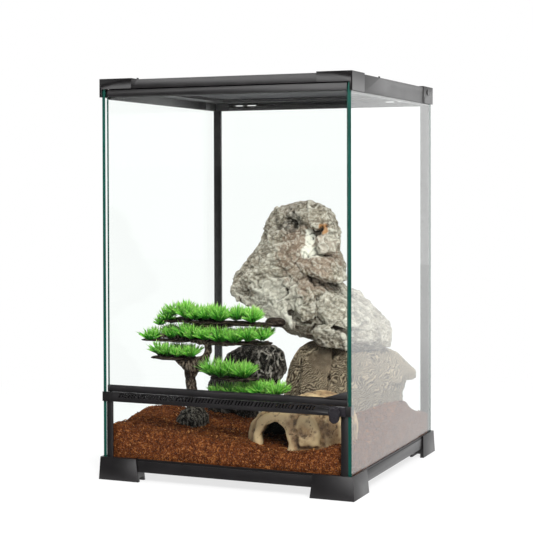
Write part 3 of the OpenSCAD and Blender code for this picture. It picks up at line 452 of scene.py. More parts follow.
def glass(tree, index):
    """Clear glass: lamps and bounced light pass straight through it, and it mirrors as its index says."""
    path = add(tree, "LightPath").outputs
    lamp = compute(tree, "MAXIMUM", path["Is Shadow Ray"], path["Is Diffuse Ray"])
    clear = add(tree, "BsdfTransparent", {"Color": "#f9fcfa"})
    pane = add(tree, "BsdfPrincipled", {
        "Base Color": "#fdfffe", "Roughness": 0.0, "IOR": index, "Transmission Weight": 1.0})
    add(tree, "OutputMaterial", {"Surface": shader_mix(tree, lamp, pane.outputs[0], clear.outputs[0])})


def float_glass(tree, place):
    """Float glass seen at a slant: almost no colour, and a pale mirror over what stands behind it."""
    glass(tree, 1.38)


def clean_glass(tree, place):
    """Float glass seen squarely: it hardly mirrors at all."""
    glass(tree, 1.1)


def glass_edge(tree, place):
    """The ground and polished edge of float glass: the long way through the pane turns it bottle green."""
    cloud = spots(tree, drawn_out(tree, place, (1.0, 1.0, 0.25)), 9, 3.0)
    finish(tree, blended(tree, cloud, "glass_edge_dark", "glass_edge"), 0.35, IOR=1.2)


def silicone(tree, place):
    """Black silicone sealant, smoothed by a finger: soft dull black with faint ripples."""
    ripple = spots(tree, place, 5, 2.0)
    finish(tree, blended(tree, ripple, "#0b0a0a", "#171516"), 0.42, (ripple, 0.3, 0.3), IOR=1.41)


def turned_steel(tree, place):
    """Stainless steel, turned and left bright: grey, with fine lines that soften its reflections."""
    lines = drawn_out(tree, place, (0.15, 1.0, 1.0))
    fine = spots(tree, lines, 0.6, 2.0)  # the real lines are 0.05 mm apart; drawn wider so that they show
    rough = ranged(tree, fine, (0.0, 1.0), (0.22, 0.4))
    finish(tree, blended(tree, fine, "#9a9a98", "#c4c4c0"), rough, Metallic=1.0)


def coated_wire(tree, place):
    """Woven steel wire with a thin black coat: dark grey, with a small glint along each wire."""
    finish(tree, blended(tree, spots(tree, place, 3, 2.0), "#232325", "#3c3c3f"), 0.36, IOR=1.5)


def black_gauze(tree, place):
    """Blackened steel gauze: nearly black and dull, so that a fine screen of it reads as a dark slot; this
    near-black is partly painted shade for the slots.
    """
    finish(tree, blended(tree, spots(tree, place, 3, 2.0), "#040404", "#0c0c0c"), 0.75, IOR=1.2)


def coconut_soil(tree, place):
    """Shredded coconut husk, damp: red-brown crumbs of 1 to 3 mm with painted shade in the gaps and a few
    pale fibres.
    """
    crumbs = add(tree, "TexVoronoi", {"Vector": place, "Scale": 1 / (1.25 * MM)}).outputs
    tone = add(tree, "SeparateColor", {"Color": crumbs["Color"]}).outputs[0]
    tone = compute(tree, "MULTIPLY_ADD", tone, 0.5, spots(tree, place, 5, 5.0, 0.7))
    shade = graded(tree, tone, (0.45, "#35190b"), (0.62, "soil_dark"), (0.84, "soil"), (0.94, "#754022"),
                   (1.0, "#9a5e33"))
    # hollow is painted shade in the dips between crumbs and in the pits along the glass
    finish(tree, painted_light_and_marks(tree, shade, hollow="#2e1408"), 0.9, (crumbs["Distance"], 0.8, 0.7), IOR=1.2)


def coconut_chips(tree, place):
    """Loose chips and fibres of coconut husk: each one a little lighter or darker than the next."""
    tone = compute(tree, "MULTIPLY_ADD", spots(tree, place, 0.8, 2.0), 0.2, stored(tree, "tone"))
    shade = graded(tree, tone, (0.1, "#260f06"), (0.4, "soil_dark"), (0.66, "soil"), (0.84, "#8f552c"),
                   (1.0, "#c98a52"))
    finish(tree, shade, 0.8, IOR=1.3)


def stained_resin_painted_light(tree, place):
    """Cast resin, painted tan and washed with brown in cloudy patches: smooth lumps, with painted shade in
    the hollows, creases and mouth, and a painted highlight on the swells.
    """
    cloud = spots(tree, place, 14, 6.0, 0.72)
    shade = graded(tree, cloud, (0.34, "#5f452f"), (0.5, "cave"), (0.66, "#a98a64"))
    # crest is a painted highlight; hollow and inside are painted shade, nearly black inside the cave's mouth
    shade = painted_light_and_marks(tree, shade, crest="#c2a680", hollow="#35251a", inside="#0d0907")
    finish(tree, shade, 0.62, (spots(tree, place, 1.4, 3.0), 0.5, 0.5))


def ridged_stone(tree, place):
    """Wrinkled stone, like petrified clay: crests of 2 to 3 mm painted pale as a highlight, over grooves
    painted dark brown as shade.
    """
    cloud = spots(tree, place, 22, 5.0, 0.6)
    shade = graded(tree, cloud, (0.3, "#5e4e40"), (0.52, "brown_stone"), (0.7, "#9c8872"))
    # crest is a painted highlight; hollow is painted shade in the grooves and broad hollows
    shade = painted_light_and_marks(tree, shade, crest="#c2b096", hollow="#221912")
    finish(tree, shade, 0.85, (spots(tree, place, 1.5, 4.0, 0.7, 1.0), 0.8, 0.8))


def grey_stone(tree, place):
    """Weathered limestone: grey faces with crests painted chalky pale as highlights, hollows painted brown as
    shade, and warm, cream and rust patches.
    """
    drawn = drawn_out(tree, place, (0.4, 1.0, 1.0), 0.7)
    cloud = mixed(tree, 0.4, spots(tree, drawn, 2.6, 6.0, 0.8), spots(tree, drawn, 11, 5.0))
    shade = graded(tree, cloud, (0.38, "#2f2822"), (0.44, "#6f6456"), (0.49, "grey_stone"), (0.54, "#b3a99b"),
                   (0.6, "#e6ded2"))
    # crest is painted highlight and painted light; hollow is painted shade; warm, cream and rust are the
    # stone's own colour
    shade = painted_light_and_marks(tree, shade, warm="#957a69", crest="#e6e0d5", cream="#efeade", rust="#b87f48",
                 hollow="#37302a")
    finish(tree, shade, 0.88, (spots(tree, drawn, 2.4, 6.0, 0.75), 0.9, 1.2))


def dark_stone(tree, place):
    """Dark slate-like stone with pale mineral streaks across its broken faces."""
    vein = spots(tree, drawn_out(tree, place, (1.0, 1.0, 0.3), 0.6), 4.5, 6.0, 0.72, 0.4)
    shade = graded(tree, vein, (0.42, "#0f0d0c"), (0.56, "dark_stone"), (0.66, "#4a443f"), (0.78, "#a39b92"))
    # crest is a painted highlight and hollow painted shade; pale is the stone's own streaks
    shade = painted_light_and_marks(tree, shade, crest="#605a54", pale="#a8a097", hollow="#161311")
    finish(tree, shade, 0.7, (spots(tree, place, 1.6, 4.0), 0.7, 0.8), IOR=1.3)


def bark(tree, place):
    """Moulded bark, painted brown: cracks along the limbs painted dark as shade, and crests painted grey as a
    highlight.
    """
    cloud = spots(tree, place, 5, 5.0, 0.65)
    shade = graded(tree, cloud, (0.34, "#1e1713"), (0.52, "bark"), (0.7, "#62554a"))
    shade = painted_light_and_marks(tree, shade, crest="#7a6c5e", hollow="#150f0c")
    finish(tree, shade, 0.75, (spots(tree, place, 1.0, 3.0), 0.6, 0.5), IOR=1.3)


def leaf_plastic(tree, place):
    """Soft polyethylene leaves: fresh green, painted darker at the root as the tuft's shade, and painted
    yellow-green and bright at the tip as light.
    """
    tone = compute(tree, "MULTIPLY_ADD", stored(tree, "tone"), 0.25, stored(tree, "along"))
    shade = graded(tree, tone, (0.05, "#124009"), (0.36, "leaf"), (0.74, "leaf_tip"), (1.0, "#cdf08e"))
    finish(tree, shade, 0.45, IOR=1.5, **{
        "Subsurface Weight": 0.15, "Subsurface Radius": (0.4, 1.0, 0.2), "Subsurface Scale": 0.8 * MM})


def matt_floor(tree, place):
    """Matt white floor: white where it is looked at, with the soft shadow left on it near the object.

    In gloss it is dark in front of the object, but for one pale card that lights the vent bar's face."""
    path = add(tree, "LightPath").outputs
    front = add(tree, "SeparateXYZ", {"Vector": place}).outputs["Y"]
    off_card = compute(tree, "ABSOLUTE", compute(tree, "ADD", front, 0.74))
    card = ranged(tree, off_card, (0.0, 0.3), (0.6, 0.0))
    mirrored = ranged(tree, front, (-0.2, -0.12), (0.1, 1.0), "SMOOTHSTEP")
    horizon = ranged(tree, front, (0.5, 1.4), (1.15, 1.5))
    glare = compute(tree, "MULTIPLY", compute(tree, "MAXIMUM", mirrored, card), horizon)
    away = add(tree, "VectorMath", {"operation": "LENGTH", 0: place}).outputs["Value"]
    far = ranged(tree, away, (0.35, 0.8), (0.0, 1.0), "SMOOTHSTEP")

    def glow(strength):
        return add(tree, "Emission", {"Color": "#ffffff", "Strength": strength}).outputs[0]

    def paper(grey):
        return add(tree, "BsdfDiffuse", {"Color": (grey, grey, grey, 1.0)}).outputs[0]

    shaded = add(tree, "AddShader", {0: glow(0.76), 1: paper(0.26)}).outputs[0]
    looked_at = shader_mix(tree, far, shaded, glow(1.0))
    otherwise = shader_mix(tree, path["Is Glossy Ray"], paper(0.8), glow(glare))
    straight = compute(tree, "MAXIMUM", path["Is Camera Ray"], path["Is Transmission Ray"])
    add(tree, "OutputMaterial", {"Surface": shader_mix(tree, straight, otherwise, looked_at)})


MAKERS = {
    "Moulded ABS": moulded_abs, "Polished ABS": polished_abs, "Float glass": float_glass,
    "Float glass, clean": clean_glass, "Polished glass edge": glass_edge, "Silicone sealant": silicone,
    "Turned steel": turned_steel, "Coated steel wire": coated_wire, "Blackened steel gauze, painted shade": black_gauze,
    "Shredded coconut husk": coconut_soil, "Coconut husk chips": coconut_chips,
    "Stained cast resin, painted shade and highlights": stained_resin_painted_light, "Wrinkled stone": ridged_stone, "Weathered limestone": grey_stone,
    "Dark veined stone": dark_stone, "Painted bark": bark, "Soft green plastic": leaf_plastic,
    "Matt white floor": matt_floor,
}


def finish_of(name):
    """The material of that name. At its first use its maker gets an empty tree, and the piece's own
    coordinates in metres."""
    material = bpy.data.materials.get(name)
    if material is None:
        material = bpy.data.materials.new(name)
        material.use_nodes = True
        tree = material.node_tree
        tree.nodes.clear()
        MAKERS[name](tree, add(tree, "TexCoord").outputs["Object"])
    return material


# ---- What can be set in the sidebar ----

def millimetres(name, description, default, low, high):
    """A length in the sidebar: Blender keeps it in metres."""
    return FloatProperty(
        name=name, description=description, default=default * MM, min=low * MM, max=high * MM, unit="LENGTH",
        precision=5)


def paint(name, description, code):
    """A colour in the sidebar."""
    return FloatVectorProperty(
        name=name, description=description, subtype="COLOR", size=3, min=0, max=1, default=linear(code)[:3])


class TerrariumSizes(bpy.types.PropertyGroup):
    """Sizes of the small things that dress the frame"""
    mould_edge: millimetres("Moulding edge", "Rounding of the mouldings' edges", 0.35, 0.1, 0.6)
    latch_edge: millimetres("Latch edge", "Rounding of the latch's edges", 0.7, 0.2, 1.2)
    pane_gap: millimetres("Pane gap", "Air between a pane and what holds it", 0.12, 0.05, 0.3)
    pane_chamfer: millimetres("Pane chamfer", "Width of the chamfer along a pane's edges", 0.4, 0.2, 0.8)
    mesh_pitch: millimetres("Lid mesh pitch", "Distance from wire to wire in the lid", 3.3, 2.5, 6.0)
    mesh_wire: millimetres("Lid wire", "Thickness of the lid's wires", 0.55, 0.3, 1.0)
    screen_pitch: millimetres("Screen pitch", "Distance from wire to wire behind the slots", 0.54, 0.5, 3.0)
    soil_step: millimetres("Soil step", "Distance between the soil's points", 1.35, 1.2, 4.0)
    stone_step: millimetres("Stone step", "Distance between the tall stone's points", 1.3, 1.0, 4.0)
    leaf_length: millimetres("Leaf length", "Length of a leaf", 16.0, 6.0, 20.0)
    leaf_width: millimetres("Leaf width", "Width of a leaf", 1.7, 0.5, 2.5)
    chips: IntProperty(name="Chips", description="Loose chips on the soil", default=11000, min=0, max=15000)


class TerrariumColours(bpy.types.PropertyGroup):
    """Colours of the glass edges, the landscape and the tree"""
    glass_edge: paint("Glass edge", "Bottle green of the panes' edges", "#165247")
    glass_edge_dark: paint("Glass edge, dark", "The darker green in the panes' edges", "#07312a")
    soil: paint("Soil", "Coconut husk, its lighter crumbs", "#69391e")
    soil_dark: paint("Soil, dark", "Coconut husk, its darker crumbs", "#482411")
    cave: paint("Cave", "Tan paint of the cave", "#9c7b5a")
    brown_stone: paint("Wrinkled stone", "Body colour of the low rock", "#7b6b5a")
    grey_stone: paint("Limestone", "Body colour of the tall rock", "#95897a")
    dark_stone: paint("Dark stone", "Body colour of the stones at the tree", "#1a1715")
    bark: paint("Bark", "Body colour of the tree's trunk", "#30261f")
    leaf: paint("Leaf", "Green of the leaves", "#348f1c")
    # the tips' bright green is partly painted light
    leaf_tip: paint("Leaf tip", "Green of the leaves' tips", "#88ca50")


def length_of(name):
    """A length of the sidebar in millimetres."""
    return getattr(bpy.context.scene.terrarium_sizes, name) / MM


# ---- Mouldings, wires and small metal ----

def rounded_moulding(node, edge, material):
    """A CAD moulding with its flat faces joined up and its sharp edges rounded."""
    mesh = copy_of(node, join_flat)
    mesh.materials.append(finish_of(material))
    mesh.shade_smooth()
    piece = place_object(node + "_moulding", mesh)
    with_settings(piece.modifiers.new("Rounded edges", "BEVEL"), width=edge * MM, segments=2,
                  limit_method="ANGLE", angle_limit=math.radians(34), harden_normals=True)
    settle(piece, node)


class TERRARIUM_OT_mouldings(bpy.types.Operator):
    """Rounds and finishes every black moulding of the frame, the door, the lid and the latch"""
    bl_idname = "terrarium.mouldings"
    bl_label = "Mouldings"

    def execute(self, context):
        for node, slot in NODE_SLOT.items():
            if slot == "moulded_black":
                rounded_moulding(node, length_of("mould_edge"), "Moulded ABS")
            elif slot == "glossy_black":
                rounded_moulding(node, length_of("latch_edge"), "Polished ABS")
        return {"FINISHED"}


class TERRARIUM_OT_small_metal(bpy.types.Operator):
    """Finishes the CAD pins, spindle, clip and seal, whose shapes are right as they are"""
    bl_idname = "terrarium.small_metal"
    bl_label = "Pins and seal"

    def execute(self, context):
        for node, name in [("latch_spindle", "Turned steel"), ("latch_clip", "Turned steel"),
                           ("door_pivot_pins", "Turned steel"), ("base_seal", "Silicone sealant")]:
            NODES[node].data.materials.clear()
            NODES[node].data.materials.append(finish_of(name))
        return {"FINISHED"}


def alternating(count):
    """1, -1, 1, -1 and so on."""
    return np.where(np.arange(count) % 2, -1.0, 1.0)


def woven_wires(low, high, pitch, wire, height, amplitude):
    """Wires along X and Y that pass over and under each other.

    Each wire is a triangle carried along a line that swings up and down by amplitude from crossing to
    crossing; neighbouring wires swing the opposite way."""
    counts = [int((high[axis] - low[axis]) // pitch) for axis in (0, 1)]
    shapes = []
    for axis in (0, 1):
        cross = 1 - axis
        wires, crossings = counts[cross], counts[axis]
        offsets = (low[cross] + high[cross]) / 2 + (np.arange(wires) - (wires - 1) / 2) * pitch
        first = (low[axis] + high[axis]) / 2 - (crossings - 1) / 2 * pitch
        steps = np.concatenate([[low[axis]], first + np.arange(crossings) * pitch, [high[axis]]])
        swing = np.pad(alternating(crossings), 1)
        sign = alternating(wires) * (1 if axis else -1)
        line = np.empty((wires, len(steps), 3))
        line[..., axis] = steps
        line[..., cross] = offsets[:, None]
        line[..., 2] = height + amplitude * sign[:, None] * swing
        side = np.cross(np.eye(3)[axis], np.eye(3)[2])
        points = tube_points(line, wire / 2 * side, wire / 2 * np.eye(3)[2])
        shapes.append(repeated(points.reshape(wires, -1, 3), tube_faces(len(steps))))
    return join_shapes(shapes)


class TERRARIUM_OT_meshes(bpy.types.Operator):
    """Weaves the lid's wire mesh, and the fine screen behind the vent slots"""
    bl_idname = "terrarium.meshes"
    bl_label = "Wire meshes"

    def execute(self, context):
        low, high = box_of("lid_mesh")
        wire = length_of("mesh_wire")
        points, faces = woven_wires(
            low[:2], high[:2], length_of("mesh_pitch"), wire, (low[2] + high[2]) / 2, wire * 0.45)
        settle(new_piece("lid_wire_mesh", points, faces, [finish_of("Coated steel wire")]), "lid_mesh")

        low, high = box_of("vent_screen")
        points, faces = woven_wires(low[[0, 2]], high[[0, 2]], length_of("screen_pitch"), 0.5, 0.0, 0.13)
        points = xyz(points[:, 0], (low[1] + high[1]) / 2 - points[:, 2], points[:, 1])
        screen = new_piece("vent_wire_screen", points, faces, [finish_of("Blackened steel gauze, painted shade")])
        settle(screen, "vent_screen")
        return {"FINISHED"}


# ---- Glass ----

def pane(node):
    """A pane as a box with chamfered edges: each corner is three points, each set back along two axes.

    Each of the 26 faces looks one way, three numbers of -1, 0 or 1. Its points have the way's signs at their
    corner and lie in a side across one of the way's axes. The two wide faces are clear, the others ground."""
    low, high = box_of(node)
    low, high = low + length_of("pane_gap"), high - length_of("pane_gap")
    thin = np.eye(3)[np.argmin(high - low)]
    signs = np.repeat(CORNERS, 3, axis=0)
    across = np.tile(np.eye(3), (8, 1))
    points = np.where(signs > 0, high, low) - signs * length_of("pane_chamfer") * (1 - across)
    faces, kinds = [], []
    for way in np.array([way for way in np.ndindex(3, 3, 3) if way != (1, 1, 1)]) - 1:
        own = np.flatnonzero((signs * way == np.abs(way)).all(axis=1) & (across * way).any(axis=1))
        flat = points[own] - points[own].mean(axis=0)
        right = np.cross(way, (1, 2, 4))
        ring = list(own[np.argsort(np.arctan2(flat @ np.cross(way, right), flat @ right))])
        faces.append((ring + ring[-1:])[:4])
        kinds.append(int((np.abs(way) != thin).any()))
    clear = finish_of("Float glass" if node == "right_glass" else "Float glass, clean")
    settle(new_piece(node + "_pane", points, np.array(faces), [clear, finish_of("Polished glass edge")],
                     np.array(kinds), smooth=False), node)


class TERRARIUM_OT_panes(bpy.types.Operator):
    """Makes the six panes of float glass with their ground edges"""
    bl_idname = "terrarium.panes"
    bl_label = "Glass panes"

    def execute(self, context):
        for node, slot in NODE_SLOT.items():
            if slot == "float_glass":
                pane(node)
        return {"FINISHED"}


# ---- Soil ----

def soil_height(x, y):
    """The soil's height over the floor glass: a mean depth, bell-shaped mounds and hollows, and two waves."""
    def bell(cx, cy, spread):
        return np.exp(-((x - cx) ** 2 + (y - cy) ** 2) / (2 * spread ** 2))

    def wave(turns, start):
        return np.sin(np.radians(turns + start))
    return (30 + 20 * bell(-118, -55, 34) + 6 * bell(-60, -125, 60) + 7 * bell(-144, -128, 24)
            + 1.3 * wave(4.2 * x, 30) * wave(5.1 * y, 60) + 0.9 * wave(11 * x, 0) * wave(9.5 * y, 20)
            + 27 * bell(140, 32, 40) + 9 * bell(140, -125, 22) - 8 * bell(70, -110, 38)
            + 7 * bell(-40, 70, 60))


def on_soil(x, y, above=0.0):
    """Points on the soil's surface, or that far above it."""
    return xyz(x, y, FLOOR_TOP + soil_height(x, y) + above)


def soil_block():
    """The soil as one closed skin: rows of points run in from the floor, up the walls and over the top.

    The top is a grid of heights with crumbs of about 3 mm on swells of about 10 mm. The wall under each rim
    point goes straight down and is pitted inwards."""
    low, high = box_of("soil")
    underside = FLOOR_TOP + 0.15
    step = length_of("soil_step")
    columns, rows = [int((high[axis] - low[axis]) / step) for axis in (0, 1)]
    grid = np.meshgrid(np.linspace(low[0], high[0], columns), np.linspace(low[1], high[1], rows))
    x, y = grid[0].ravel(), grid[1].ravel()
    level = xyz(x, y, np.zeros(len(x)))
    lumps, border = broken_faces(level, 2.8, 11)
    crumbs = 0.8 * rough_noise(level, 10, 3, 12) + 0.9 * lumps - 0.3 * np.exp(-border / 0.4)
    rim = smooth_step(0, 5, np.minimum.reduce([x - low[0], high[0] - x, y - low[1], high[1] - y]))
    top = on_soil(x, y, crumbs * (0.75 + 0.25 * rim))

    index = np.arange(rows * columns).reshape(rows, columns)
    loop = np.concatenate([index[0, :-1], index[:-1, -1], index[-1, :0:-1], index[:0:-1, 0]])
    wall_depth = 34
    levels = int(wall_depth / step)
    share = np.linspace(1, 0, levels + 1)[1:, None]
    wall = np.repeat(top[loop][None], levels, axis=0)
    wall[:, :, 2] = underside * (1 - share) + top[loop][None, :, 2] * share
    wall = wall.reshape(-1, 3)
    lumps, border = broken_faces(wall, 2.6, 21)
    pits = np.clip(0.3 - 0.4 * lumps - 0.3 * soft_noise(wall, 4, 22) + 0.3 * np.exp(-border / 0.45), 0, 1.4)
    inward = np.isclose(wall[:, :2], low[:2]) * 1.0 - np.isclose(wall[:, :2], high[:2]) * 1.0
    wall[:, :2] += inward * pits[:, None]

    base = rows * columns
    ids = np.concatenate([loop[None], base + np.arange(len(wall)).reshape(levels, -1)])
    beside = np.roll(ids, -1, axis=1)
    walls = np.stack([ids[:-1], ids[1:], beside[1:], beside[:-1]], axis=-1)
    bottom = np.stack([ids[-1], np.full(len(loop), base + len(wall)), beside[-1], beside[-1]], axis=1)
    middle = [(low[0] + high[0]) / 2, (low[1] + high[1]) / 2, underside]
    # hollow: where the material paints shade, in the dips between crumbs and in the wall's pits
    hollow = [0.6 * smooth_step(0.2, 1.6, -crumbs), 0.2 * smooth_step(0.4, 1.2, pits), [0.0]]
    return (np.concatenate([top, wall, [middle]]),
            np.concatenate([grid_faces(rows, columns), walls.reshape(-1, 4), bottom]), np.concatenate(hollow))


class TERRARIUM_OT_soil(bpy.types.Operator):
    """Makes the bed of shredded coconut husk, pitted where it meets the glass"""
    bl_idname = "terrarium.soil"
    bl_label = "Soil"

    def execute(self, context):
        points, faces, hollow = soil_block()
        settle(new_piece("soil_bed", points, faces, [finish_of("Shredded coconut husk")],
                         values={"hollow": hollow}), "soil")
        return {"FINISHED"}


def tumbled(turns):
    """Rotation matrices from random unit quaternions, one for each row of turns."""
    w, x, y, z = unit(turns).T
    return np.stack([
        xyz(1 - 2 * (y * y + z * z), 2 * (x * y - w * z), 2 * (x * z + w * y)),
        xyz(2 * (x * y + w * z), 1 - 2 * (x * x + z * z), 2 * (y * z - w * x)),
        xyz(2 * (x * z - w * y), 2 * (y * z + w * x), 1 - 2 * (x * x + y * y))], axis=1)


def chip_blocks(count, rng):
    """Chips as uneven six-sided blocks, tumbled over the soil and laid flatter along its glass sides."""
    low, high = box_of("soil")
    on_wall = rng.random(count) < 0.3
    x = rng.uniform(low[0] + 2, high[0] - 2, count)
    y = rng.uniform(low[1] + 2, high[1] - 2, count)
    side = rng.integers(0, 3, count)
    at_front = on_wall & (side < 2)
    at_right = on_wall & (side == 2)
    y = np.where(at_front, low[1] + 0.9, y)
    x = np.where(at_right, high[0] - 0.9, x)
    ground = FLOOR_TOP + soil_height(x, y)
    z = np.where(on_wall, FLOOR_TOP + 2 + rng.random(count) * (ground - FLOOR_TOP - 3),
                 ground + rng.uniform(-0.6, 1.2, count))
    chip = rng.uniform(0.5, 1.0, (count, 1)) * (3.2, 1.1, 0.6) * (0.6 + rng.random((count, 1)) ** 3)
    block = CORNERS[None] * chip[:, None, :] / 2 * rng.uniform(0.5, 1.0, (count, 8, 3))
    turned = np.einsum("nij,nkj->nki", tumbled(rng.normal(size=(count, 4))), block)
    turned[at_front, :, 1] *= 0.4
    turned[at_right, :, 0] *= 0.4
    points = turned + xyz(x, y, z)[:, None]
    points[:, :, :2] = np.clip(points[:, :, :2], low[:2], high[:2])
    sides = np.array([[0, 1, 3, 2], [4, 6, 7, 5], [0, 4, 5, 1], [2, 3, 7, 6], [0, 2, 6, 4], [1, 5, 7, 3]])
    tones = np.repeat(0.04 + 0.96 * rng.random(count) ** 1.6, 8)
    return repeated(points, sides), tones


def fibre_strips(count, rng):
    """Fibres as thin closed strips: a triangle carried along a line that arches from root to end."""
    low, high = box_of("soil")
    x = rng.uniform(low[0] + 4, high[0] - 4, count)
    y = rng.uniform(low[1] + 4, high[1] - 4, count)
    heading = rng.uniform(0, 2 * np.pi, count)
    reach = rng.uniform(4, 13, count)
    far_x = np.clip(x + np.cos(heading) * reach, low[0] + 1, high[0] - 1)
    far_y = np.clip(y + np.sin(heading) * reach, low[1] + 1, high[1] - 1)
    roots = on_soil(x, y, rng.uniform(-0.3, 0.8, count))
    ends = on_soil(far_x, far_y, rng.uniform(-0.3, 1.6, count))
    arch = xyz(rng.normal(0, 0.6, count), rng.normal(0, 0.6, count), rng.uniform(0.2, 1.5, count))
    width = rng.uniform(0.3, 0.6, count)
    thickness = rng.uniform(0.25, 0.4, count)
    t = np.linspace(0, 1, 5)
    line = (roots[:, None] * (1 - t)[None, :, None] + ends[:, None] * t[None, :, None]
            + arch[:, None] * (4 * t * (1 - t))[None, :, None])
    along = unit(ends - roots)
    side = unit(np.cross(along, (0.31, 0.17, 0.94)))
    over = np.cross(side, along)
    points = tube_points(line, (side * width[:, None] / 2)[:, None], (over * thickness[:, None] / 2)[:, None])
    tones = np.repeat(rng.uniform(0.3, 0.85, count), 3 * len(t))
    return repeated(points.reshape(count, -1, 3), tube_faces(len(t))), tones


class TERRARIUM_OT_chips(bpy.types.Operator):
    """Strews loose chips and fibres over the soil and along its glass sides"""
    bl_idname = "terrarium.chips"
    bl_label = "Chips and fibres"

    def execute(self, context):
        rng = np.random.default_rng(5)
        chips, chip_tones = chip_blocks(context.scene.terrarium_sizes.chips, rng)
        fibres, fibre_tones = fibre_strips(count=900, rng=rng)
        piece = new_piece("soil_chips", *join_shapes([chips, fibres]), [finish_of("Coconut husk chips")],
                          values={"tone": np.concatenate([chip_tones, fibre_tones])}, smooth=False)
        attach(piece, "tank")
        return {"FINISHED"}


# ---- Stones ----

def patch(points, centre, reach, seed):
    """1 inside an uneven ball round a centre, 0 outside it, with a frayed border."""
    away = np.linalg.norm((points - centre) / reach, axis=1)
    return 1 - smooth_step(0.85, 1.15, away + 0.3 * rough_noise(points, 6, 2, seed))


class TERRARIUM_OT_tall_stone(bpy.types.Operator):
    """Carves the tall limestone: crumbly broken faces with open cracks between them"""
    bl_idname = "terrarium.tall_stone"
    bl_label = "Tall limestone"

    def execute(self, context):
        stone = Skin("upper_rock", "tall_limestone", length_of("stone_step"), 2)
        points = stone.points
        pushed = bent(points, 5, 18, 3, 31)
        big, big_edge = broken_faces(pushed, 24, 41)
        small, small_edge = broken_faces(points + 0.4 * (pushed - points), 7.5, 51)
        split = smooth_step(0.0, 0.5, rough_noise(points, 30, 2, 55))
        slant = (points[:, 0] * 0.75 + points[:, 2] * -0.66)[:, None] * (0.75, 0, -0.66)
        strata = ridges(points - 0.8 * slant, 8, 4, 61)
        lift = 3.0 * big + 1.6 * small + 0.9 * strata + 0.6 * rough_noise(points, 2.6, 2, 71)
        lift = lift - split * (1.8 * np.exp(-big_edge / 1.0) + 0.5 * np.exp(-small_edge / 0.5))
        stone.carve(np.clip(lift, -4.5, 3.5))
        points = stone.points
        fine, broad = stone.sunken(3), stone.sunken(240)
        # pale: painted light on lobes that the lamps leave dim
        pale = (0.15 * patch(points, (70, 30, 180), (36, 60, 34), 87)
                + 0.3 * patch(points, (56, 34, 265), (12, 20, 16), 88)
                + 0.4 * patch(points, (-12, 34, 190), (34, 60, 30), 89))
        # painted shade in the hollow near the top
        hollow_shade_patch = patch(points, (2, 46, 285), (19, 22, 13), 84)
        hollow_shade_patch = hollow_shade_patch * smooth_step(-0.3, 0.3, rough_noise(points, 5, 3, 85))
        # hollow is painted shade, crest a painted highlight with the pale painted light; warm, cream and rust
        # are the stone's own colour
        stone.dress_in(
            "Weathered limestone",
            hollow=0.45 * smooth_step(0.15, 0.7, fine) + 0.8 * smooth_step(1.2, 5.5, broad) + 0.7 * hollow_shade_patch,
            crest=0.45 * smooth_step(0.15, 0.6, -fine) + pale,
            warm=0.55 * patch(points, (26, 38, 240), (36, 60, 42), 86),
            cream=np.maximum(patch(points, (33, 42, 250), (13, 16, 9), 81),
                             patch(points, (29, 43, 266), (5, 14, 12), 83)),
            rust=0.8 * patch(points, (48, 37, 279), (5, 14, 7), 82))
        return {"FINISHED"}


class TERRARIUM_OT_low_stone(bpy.types.Operator):
    """Carves the low wrinkled stone: crests 2 to 3 mm apart that flow over its slabs"""
    bl_idname = "terrarium.low_stone"
    bl_label = "Wrinkled stone"

    def execute(self, context):
        stone = Skin("brown_rock", "wrinkled_stone", 1.0, 5)
        points = stone.points
        pushed = bent(points, 6, 17, 4, 93)
        phase = (pushed[:, 0] * 0.55 + pushed[:, 1] * 0.45 - pushed[:, 2] * 0.7) / 2.4
        wrinkle = np.sin(2 * np.pi * phase + 3.6 * rough_noise(points, 5.5, 2, 97))
        plain = patch(points, (40, 53, 118), (15, 20, 13), 96)
        cut = (1 - 0.85 * plain) * (0.85 + 0.15 * rough_noise(points, 20, 2, 99))
        stone.carve(0.6 * wrinkle * cut + 1.4 * rough_noise(points, 14, 4, 98))
        # crest is a painted highlight on the wrinkles; hollow is painted shade in their grooves and in broad
        # hollows
        stone.dress_in(
            "Wrinkled stone",
            crest=smooth_step(0.1, 0.9, wrinkle) * cut,
            hollow=(0.8 * smooth_step(0.0, 0.9, -wrinkle) * cut
                    + 0.9 * smooth_step(0.5, 2.2, stone.sunken(40))))
        return {"FINISHED"}


class TERRARIUM_OT_dark_stones(bpy.types.Operator):
    """Carves the dark stone behind the tree and the small one that the tree stands on"""
    bl_idname = "terrarium.dark_stones"
    bl_label = "Dark stones"

    def execute(self, context):
        for node, name, cell in [("dark_rock", "dark_stone_rear", 24), ("tree_rock", "dark_stone_foot", 11)]:
            stone = Skin(node, name, 1.2, 5)
            points = stone.points
            pushed = points * (1, 1, 0.6) + 2 * soft_noise(points, 9, 100)[:, None]
            big, edge = broken_faces(pushed, cell, 101)
            small, _ = broken_faces(pushed, cell * 0.36, 111)
            lift = 0.17 * cell * big + 1.2 * small + 0.4 * rough_noise(points, 3, 2, 121)
            stone.carve(np.clip(lift - 1.2 * np.exp(-edge / 0.8), -4, 3.5))
            points = stone.points
            fine = stone.sunken(3)
            streak = ridges(points * (1, 1, 0.5), 7, 4, 131)
            # hollow is painted shade in recesses, crest a painted highlight; pale marks the stone's own
            # streaks
            stone.dress_in(
                "Dark veined stone",
                hollow=0.8 * smooth_step(0.05, 0.4, fine) + 0.6 * smooth_step(0.5, 2.0, stone.sunken(30)),
                crest=smooth_step(0.1, 0.4, -fine),
                pale=smooth_step(-34, -20, points[:, 0]) * smooth_step(0.6, 0.92, streak))
        return {"FINISHED"}


